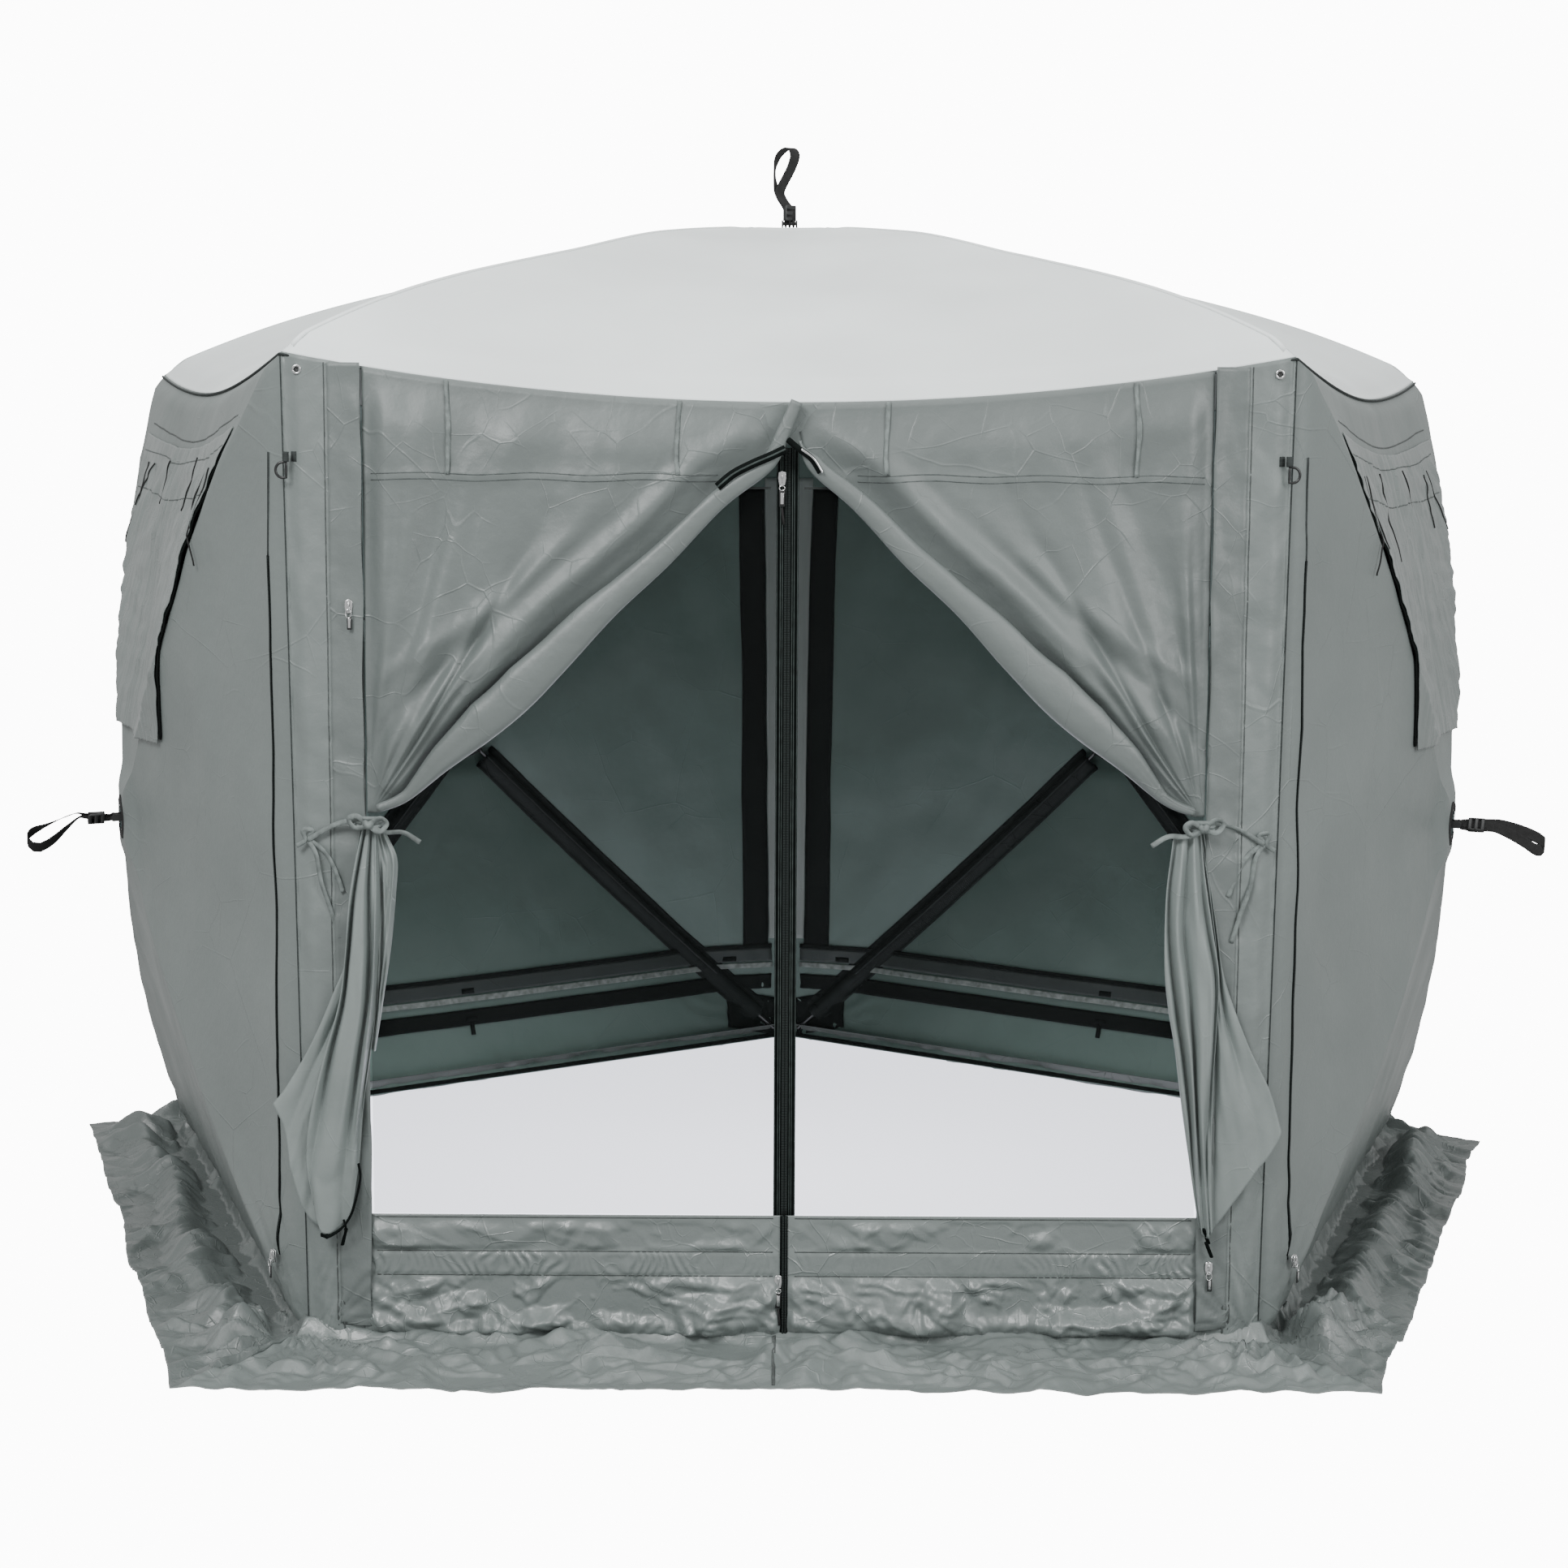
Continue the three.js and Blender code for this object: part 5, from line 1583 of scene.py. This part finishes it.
def wind_panel(name):
    """Loose cloth over the upper half of a side wall, gathered by cords at its top."""
    panel = PANELS[name]
    seed = WALLS.index(name) + 1
    v = np.linspace(0, 1, 150)[:, None]
    u = np.linspace(-1, 1, 220)[None, :]
    x, y = wind_point(u + 0 * v, v + 0 * u)
    grid = panel.world(np.stack([x, y, wind_z(x, y, seed)], -1))
    piece = cloth(f"{name}_wind_cloth", grid, RUMPLED, facing=panel.z, lining=LINING)
    follows(piece, name, stands_for=[f"{name}_wind_panel"])

    def face(px, py):
        return wind_z(px, py, seed)

    for end, side in PANEL_ENDS:
        share = np.linspace(0.02, 0.985, 14)
        x, y = wind_point(side + 0 * share, share)
        path = list(zip(x + side * 0.0025, y))
        # a dark strip under each side edge: painted shadow of the gap beneath the panel
        edge = strip(f"{name}_wind_edge_shadow_{end}", panel, face, path, 0.007, DARK_BAND_AND_SHADOW, -0.0035, 0.003)
        follows(edge, name)
    for k, drop in enumerate((0.030, 0.105)):
        share = np.full(24, drop / 0.57)
        x, y = wind_point(np.linspace(-0.97, 0.97, 24), share)
        path = list(zip(x, y + 0.003 * np.sin(x * 11)))
        follows(strip(f"{name}_wind_stitching_{k + 1}", panel, face, path, 0.0022, SEAM, 0.0005,
                      0.0008), name)
    rng = np.random.default_rng(97 + seed)
    for k, x0 in enumerate((-0.56, -0.49, -0.20, 0.16, 0.47, 0.55)):
        drop = 0.05 + 0.13 * rng.random()
        lean = 0.12 * (rng.random() - 0.5)
        rows = np.linspace(0, 1, 40)
        px = x0 + lean * rows + 0.010 * np.sin(rows * 4 + 2 * k)
        py = 0.705 - 0.02 * rng.random() - drop * rows
        line = panel.world(np.stack([px, py, face(px, py) + 0.0012], -1))
        follows(tube(f"{name}_gather_cord_{k + 1}", line, 0.0017, WEBBING, 6, up=panel.z), name)


def skirt_height(x, y, out, along, from_end, folds):
    """Height of a ground skirt at a point of the floor. out runs from the wall, 0, to 1."""
    loose = 1 - (1 - folds) * smooth(from_end, 0, 0.06)
    root = (0.018 + 0.016 * loose) * (1 - smooth(out, 0, 0.10))
    small = facets(x, y, 112, 0.105, 3) - 0.25
    wide = facets(x, y, 115, 0.34, 2) - 0.25
    bent = along + 0.05 * noise(along * 2.3, out * 1.7, 117) + 0.04 * out
    rows = facets(bent, out * 0.075, 121, 0.110, 2) - 0.3
    thin = facets(bent, out * 0.050, 125, 0.036, 2) - 0.3
    thin = thin * (0.6 + 0.4 * noise(along * 2.6, out * 2.0, 119))
    crest = bell(out, 0.50 + 0.12 * noise(along * 2.0, 0 * out, 122), 0.17)
    crest = crest * (0.6 + 0.4 * noise(along * 3.1, 0 * out, 123))
    valley = bell(out, 0.17 + 0.03 * noise(along * 3.0, 0 * out, 124), 0.05)
    side = 0.052 * rows + 0.036 * thin + 0.066 * crest - 0.030 * valley
    side = side * smooth(from_end, 0, 0.06)
    lie = smooth(out, 0.01, 0.10) * (0.40 + 0.60 * smooth(1 - out, 0, 0.22))
    crossing = 0
    for end in (-1, 1):
        dx, dy = end * x - 0.887, y + SKIRT_INNER
        crossing = crossing + 0.020 * pleats(-dy, dx, 11, 0.16, 126 + end)
    near = (0.056 * small + 0.024 * wide) * (1 - 0.5 * loose) + crossing
    return 0.010 + root + (near + folds * side) * lie


def ground_skirts():
    """One skirt of loose cloth along the foot of each wall."""
    radius = SKIRT_INNER / math.cos(HALF_ANGLE)
    first = -math.pi / 2 - HALF_ANGLE
    inner = [(radius * math.cos(first + 2 * HALF_ANGLE * i),
              radius * math.sin(first + 2 * HALF_ANGLE * i)) for i in range(SIDES)]
    names = ["front", "right", "back_right", "back_left", "left"]
    rows, columns = 70, 380
    v, u = (share[..., None] for share in shares(rows, columns))
    for i, name in enumerate(names):
        a, b = np.array(inner[i]), np.array(inner[(i + 1) % SIDES])
        c, d = np.array(SKIRT_CORNERS[i]), np.array(SKIRT_CORNERS[(i + 1) % SIDES])
        edge = c + (d - c) * u
        ragged = 0.012 * (noise(u * 6, 0 * u, 120 + i) - 0.3)
        ragged = ragged + 0.003 * noise(u * 25, 0 * u, 130 + i)
        edge = edge * (1 + ragged * smooth(np.minimum(u, 1 - u), 0, 0.03) / 1.5)
        flat = (a + (b - a) * u) * (1 - v) + edge * v
        x, y, out = flat[..., 0], flat[..., 1], v[..., 0] + 0 * u[..., 0]
        along = u[..., 0] * 1.9 + 3 * i + 0 * out
        from_end = np.minimum(u[..., 0], 1 - u[..., 0])
        height = skirt_height(x, y, out, along, from_end, 0.12 if name == "front" else 1.0)
        height = np.maximum(height, 0.0026 + 0.0010 * np.sin(along * 40))
        grid = np.stack([x, y + CENTRE_Y, height], -1)
        look = RUMPLED if name == "front" else SKIRT_CLOTH
        piece = fixed(cloth(f"{name}_ground_skirt", grid, look, facing=(0, 0, 1)),
                      stands_for=[f"{name}_skirt"])
        if name == "front":
            middle = np.abs(x + 0.017).argmin(1)
            pick = np.arange(5, rows - 3)[:, None]
            seam = grid[pick, middle[5:-3, None] + np.array([-1, 0, 1])]
            seam[..., 0] = -0.017 + np.array([-0.003, 0, 0.003])
            seam[..., 2] += 0.0014
            fixed(cloth("front_skirt_seam", seam, THREAD, facing=(0, 0, 1), thick=0.0009))


# ---------------------------------------------------------------- straps, rings, sliders


# A hand loop's middle line: reach from the pin, rise, depth, and how far the webbing is turned
# about that line so that its face shows.
LOOP_OPEN = [
    (0.004, 0.001, 0.003, 0.5), (0.030, 0.002, 0.003, 0.6), (0.060, 0.008, 0.002, 0.3),
    (0.075, 0.011, 0.0, 0.2), (0.097, 0.005, 0.0, 0.12), (0.138, -0.011, 0.0, 0.4),
    (0.165, -0.022, 0.0, 0.9), (0.176, -0.034, 0.0, 1.0), (0.172, -0.048, 0.0, 1.0),
    (0.160, -0.055, 0.0, 1.0), (0.145, -0.053, 0.0, 1.0), (0.121, -0.038, 0.0, 0.95),
    (0.097, -0.017, 0.0, 0.6), (0.072, 0.003, 0.0, 0.3), (0.058, 0.004, -0.001, 0.4),
    (0.030, -0.002, -0.003, 0.6), (0.004, -0.002, -0.003, 0.5),
]
LOOP_FLAT = [
    (0.004, 0.001, 0.003, 0.5), (0.030, 0.002, 0.003, 0.8), (0.058, 0.003, 0.003, 0.8),
    (0.085, 0.002, 0.003, 1.1), (0.113, -0.0035, 0.005, 1.2), (0.142, -0.012, 0.006, 1.2),
    (0.164, -0.021, 0.005, 1.2), (0.177, -0.031, 0.0, 1.15), (0.171, -0.042, -0.005, 1.15),
    (0.156, -0.041, -0.007, 1.2), (0.135, -0.028, -0.006, 1.2), (0.106, -0.013, -0.005, 1.1),
    (0.078, -0.002, -0.004, 0.9), (0.058, -0.001, -0.003, 0.8), (0.030, -0.002, -0.003, 0.8),
    (0.004, -0.002, -0.003, 0.5),
]
LOOP_UPRIGHT = [
    (0.001, 0.001, 0.003, 1.1), (0.020, 0.001, 0.003, 1.1), (0.034, -0.005, 0.003, 1.0),
    (0.052, -0.017, 0.003, 0.9), (0.068, -0.026, 0.002, 0.6), (0.090, -0.031, 0.0, 0.25),
    (0.115, -0.032, 0.0, 0.15), (0.140, -0.026, 0.0, 0.5), (0.155, -0.014, 0.0, 0.75),
    (0.161, -0.001, 0.0, 0.85), (0.155, 0.008, 0.0, 0.95), (0.140, 0.010, 0.0, 1.0),
    (0.115, 0.001, 0.0, 1.0), (0.090, -0.012, -0.002, 1.0), (0.068, -0.022, -0.003, 1.0),
    (0.052, -0.016, -0.003, 0.9), (0.034, -0.004, -0.003, 1.0), (0.020, 0.0, -0.003, 1.1),
    (0.001, 0.0, -0.003, 1.1),
]


def pull_strap(name, line, buckle_at):
    """Hand loop of webbing on a hub, with its buckle."""
    body = f"{name}_pull_strap"
    joint = JOINTS[f"{body}_swing"]
    panel = PANELS[name]
    pin = np.asarray(joint["pos_m"])
    rise, depth = panel.y, panel.x
    if name == "roof":
        rise, depth = panel.x * np.sign(panel.x[0]), panel.y
    knots = through(line, 170)
    reach, high, deep, turn = knots.T[..., None]
    middle = pin + reach * panel.z + high * rise + deep * depth
    face = np.cos(turn) * depth + np.sin(turn) * rise
    across = np.linspace(-0.0125, 0.0125, 7)
    grid = middle[:, None] + across[None, :, None] * face[:, None]
    web = cloth(f"{name}_strap_loop", grid, WEBBING, thick=0.0016)
    fixed(web, body, [body])
    local = Panel(pin, math.cos(0.75) * depth + math.sin(0.75) * rise, panel.z)
    parts = []
    for k, z in enumerate((-0.013, 0.0, 0.013)):
        parts.append(block(f"bar_{k}", local, (0, 0, buckle_at + z), (0.031, 0.0115, 0.0084),
                           PLASTIC, 0.0018))
    for k, x in enumerate((-0.0145, 0.0145)):
        parts.append(block(f"rail_{k}", local, (x, 0, buckle_at), (0.0038, 0.0100, 0.030), PLASTIC,
                           0.0015))
    fixed(joined(f"{name}_strap_buckle", parts), body)
    ring = [pin + 0.0062 * (math.cos(a) * panel.y + math.sin(a) * panel.z)
            for a in around(20)]
    turns = []
    for k, x in enumerate((-0.0085, 0.0, 0.0085)):
        turns.append(tube(f"eye_{k}", [p + panel.x * x for p in ring], 0.0026, WEBBING, 8, True,
                          up=panel.x))
    fixed(joined(f"{name}_strap_eye", turns), body)


def guy_rings():
    for label, side in DOOR_SIDES:
        body = f"guy_ring_{label}"
        pin = np.asarray(JOINTS[f"{body}_swing"]["pos_m"])
        low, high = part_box(body)
        half = (high.z - low.z) / 2 - 0.0012
        angle = np.linspace(-math.pi / 2, math.pi / 2, 18)
        bend = [(0.006 + (half - 0.001) * math.cos(a), half * math.sin(a)) for a in angle]
        straight = [(0.0, half * k) for k in (0.98, 0.5, 0, -0.5, -0.98)]
        outline = [*bend, *straight]
        path = [pin + FRONT.x * side * a + FRONT.y * b for a, b in outline]
        fixed(tube(f"d_ring_{label}", path, 0.0025, BLACK_METAL, 10, closed=True, up=FRONT.z),
              body, [body])
        centre = FRONT.local(pin)
        angle = np.linspace(0.15, 2 * math.pi - 0.15, 24)
        rows = np.linspace(-0.0088, 0.0088, 7)
        z0 = float(front_z(centre[0], centre[1]))
        fold = [(centre[0] - side * 0.0052 * math.cos(a), centre[2] + 0.0050 * math.sin(a))
                for a in angle]
        grid = [[FRONT.world([x, centre[1] + r, max(z, z0 + 0.0004)]) for r in rows]
                for x, z in fold]
        fixed(cloth(f"ring_tab_{label}", grid, BINDING, thick=0.0009))
        x = side * (abs(centre[0]) - 0.012)
        flat = [(x, centre[1] - 0.0088), (x, centre[1]), (x, centre[1] + 0.0088)]
        fixed(strip(f"ring_tab_foot_{label}", FRONT, front_z, flat, 0.010, BINDING, 0.0010, 0.0012,
                    0.004))


def zip_slider(node, panel, at, pull=True):
    """Slider body: two plates round the teeth, a bridge, and maybe a ring with its tab."""
    at = np.asarray(at)
    parts = []
    for k, z in enumerate((0.0007, 0.0050)):
        outline = [(-0.0050, -0.0125), (0.0050, -0.0125), (0.0072, 0.0), (0.0062, 0.0105),
                   (0.0, 0.0125), (-0.0062, 0.0105), (-0.0072, 0.0)]
        grid = []
        for shrink in (0.02, 0.5, 0.9, 1.0):
            grid.append([(x * shrink, y * shrink, z + 0.0012 - 0.0004 * shrink)
                         for x, y in outline])
        points = panel.world(np.asarray(grid) + at)
        parts.append(cloth(f"plate_{k}", points, CHROME, facing=panel.z, ring=True, thick=0.0014))
    parts.append(block("post", panel, at + (0, 0.008, 0.0030), (0.0036, 0.0052, 0.0048), CHROME,
                       0.0006))
    arch = [at + (0, 0.0085 * math.cos(a), 0.0058 + 0.0034 * math.sin(a))
            for a in np.linspace(0, math.pi, 12)]
    parts.append(tube("bridge", panel.world(np.asarray(arch)), 0.0011, CHROME, 8, up=panel.x))
    if pull:
        ring = [at + (0.0052 * math.cos(a), -0.010 + 0.0075 * math.sin(a) - 0.003,
                      0.0105 - 0.0002 * math.cos(a)) for a in around(22)]
        parts.append(tube("ring", panel.world(np.asarray(ring)), 0.0010, CHROME, 8, True,
                          up=panel.z))
        parts.append(block("tab", panel, at + (0.0015, -0.030, 0.0098), (0.0085, 0.024, 0.0021),
                           BLACK_METAL, 0.0009))
        parts.append(block("tab_rib", panel, at + (0.0015, -0.030, 0.0112),
                           (0.0045, 0.017, 0.0010), CHROME, 0.0004))
    fixed(joined(f"{node}_detail", parts), node, [node])


def sliders():
    for node in ("flap_zip_slider_left", "flap_zip_slider_right", "door_zip_slider_top",
                 "door_zip_slider_bottom"):
        low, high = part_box(node)
        centre = FRONT.local((low + high) / 2)
        centre[2] = FRONT_FACE + (0.0045 if node.startswith("flap") else 0.0008)
        zip_slider(node, FRONT, centre, node.startswith("flap"))
    for name, side in FRONT_CORNERS:
        node = f"{name}_wall_zip_slider"
        low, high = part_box(node)
        centre = (np.asarray(low) + np.asarray(high)) / 2
        run = unit(JOINTS[f"{node}_run"]["axis"])
        out = PANELS[name].z + PANELS[name].x * side * 0.25
        out = unit(out - run * (out @ run))
        local = Panel(centre - out * 0.003, np.cross(run, out), out)
        zip_slider(node, local, (0, 0, 0))
    for which in ("top", "bottom"):
        node = f"door_zip_pull_{which}"
        low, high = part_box(node)
        middle = FRONT.local((low + high) / 2)
        length = high.z - low.z
        parts = []
        head = length / 2 - 0.004
        ring = [middle + (0.0050 * math.cos(a), head + 0.0042 * math.sin(a), 0.0004)
                for a in around(22)]
        parts.append(tube("ring", FRONT.world(np.asarray(ring)), 0.0010, CHROME, 8, True,
                          up=FRONT.z))
        parts.append(block("tab", FRONT, middle + (0, -0.0035, 0), (0.0105, length - 0.009, 0.0022),
                           BLACK_METAL, 0.0010))
        parts.append(block("rib", FRONT, middle + (0, -0.0035, 0.0013),
                           (0.0056, length - 0.018, 0.0010), CHROME, 0.0004))
        fixed(joined(f"{node}_detail", parts), node, [node])
        cord_path = [middle + (0.0010 * k, -length / 2 - 0.001 - 0.010 * k, 0.0006 * k)
                     for k in range(4)]
        fixed(tube(f"{node}_cord", FRONT.world(np.asarray(cord_path)), 0.0022, WEBBING, 8,
                   up=FRONT.z), node)


def wall_zips(faces):
    """Zip beside the front corner of each side wall, with its top end, and a stitched seam across the
    wall's top.
    """
    for name, side in FRONT_CORNERS:
        face = faces[name]
        path = [(side * 0.812, -0.735), (side * 0.824, -0.42), (side * 0.839, -0.03),
                (side * 0.862, 0.56)]
        follows(strip(f"{name}_wall_zip_tape", PANELS[name], face, path, 0.007, ZIP_TAPE, 0.001,
                      0.0009), name)
        follows(strip(f"{name}_wall_zip_coil", PANELS[name], face, path, 0.0035, ZIP_COIL,
                      0.001 + 0.0014, 0.0014, 0.01), name)
        top = [(side * 0.862, 0.56), (side * 0.868, 0.64), (side * 0.872, 0.74)]
        follows(strip(f"{name}_wall_zip_end", PANELS[name], face, top, 0.004, BINDING, 0.0012,
                      0.001), name)
        seam = [(side * 0.70 * k, y) for k, y in ((1.0, 0.795), (0.5, 0.752), (0.0, 0.735),
                                                 (-0.5, 0.752), (-1.0, 0.795))]
        follows(strip(f"{name}_header_seam", PANELS[name], face, seam, 0.003, THREAD, 0.0005,
                      0.0008), name)


def raise_front_eaves():
    """Cloth higher at the front corners and the middles of the side eaves, lower behind them."""
    for piece in SEWN:
        co = np.zeros(len(piece.data.vertices) * 3)
        piece.data.vertices.foreach_get("co", co)
        co = co.reshape(-1, 3)
        forward = CENTRE_Y - co[:, 1]
        high = smooth(co[:, 2], 0.95, 1.72)
        lift = 0.025 * smooth(forward, 0.05, EAVE_APOTHEM) - 0.005 * smooth(-forward, -0.2, 0.45)
        for name in ("left", "right"):
            at = PANELS[name].local(co)
            outward = (co - (0, CENTRE_Y, 0)) @ (PANELS[name].z * (1, 1, 0))
            across = np.clip(1 - (at[:, 0] / EAVE_HALF) ** 2, 0, 1)
            lift = lift + 0.034 * across * smooth(outward, 0.55 * EAVE_APOTHEM, EAVE_APOTHEM)
        co[:, 2] += high * lift
        piece.data.vertices.foreach_set("co", co.ravel())
        piece.data.update()


def paint_frame():
    """Materials for the CAD nodes that stay."""
    for name, node in frame["nodes"].items():
        look = None
        if "_pole_" in name:
            look = ROD
        elif name.endswith("_hub"):
            look = PLASTIC
        if look and not node.hide_render:
            node.data.materials.clear()
            node.data.materials.append(look)


# ---------------------------------------------------------------- everything

add_camera()
add_studio()
roof_canvas()
hub_patch("roof", roof_z, 0.050)
wall_faces = {}
for number, wall_name in enumerate(WALLS):
    wall_faces[wall_name] = wall_canvas(wall_name, number + 1)
    hub_patch(wall_name, wall_faces[wall_name], 0.046)
    wall_inside(wall_name, wall_faces[wall_name])
corner_bindings()
front_wall()
corner_details()
door_flap("left", -1, 201)
door_flap("right", 1, 301)
bundles()
bundle_tape()
flap_ties()
screens()
wind_panel("left")
wind_panel("right")
wall_zips(wall_faces)
ground_skirts()
for strap_name in [*WALLS, "roof"]:
    loop = {"roof": LOOP_UPRIGHT, "right": LOOP_FLAT}.get(strap_name, LOOP_OPEN)
    pull_strap(strap_name, loop, 0.022 if strap_name == "roof" else 0.036)
guy_rings()
sliders()
raise_front_eaves()
paint_frame()
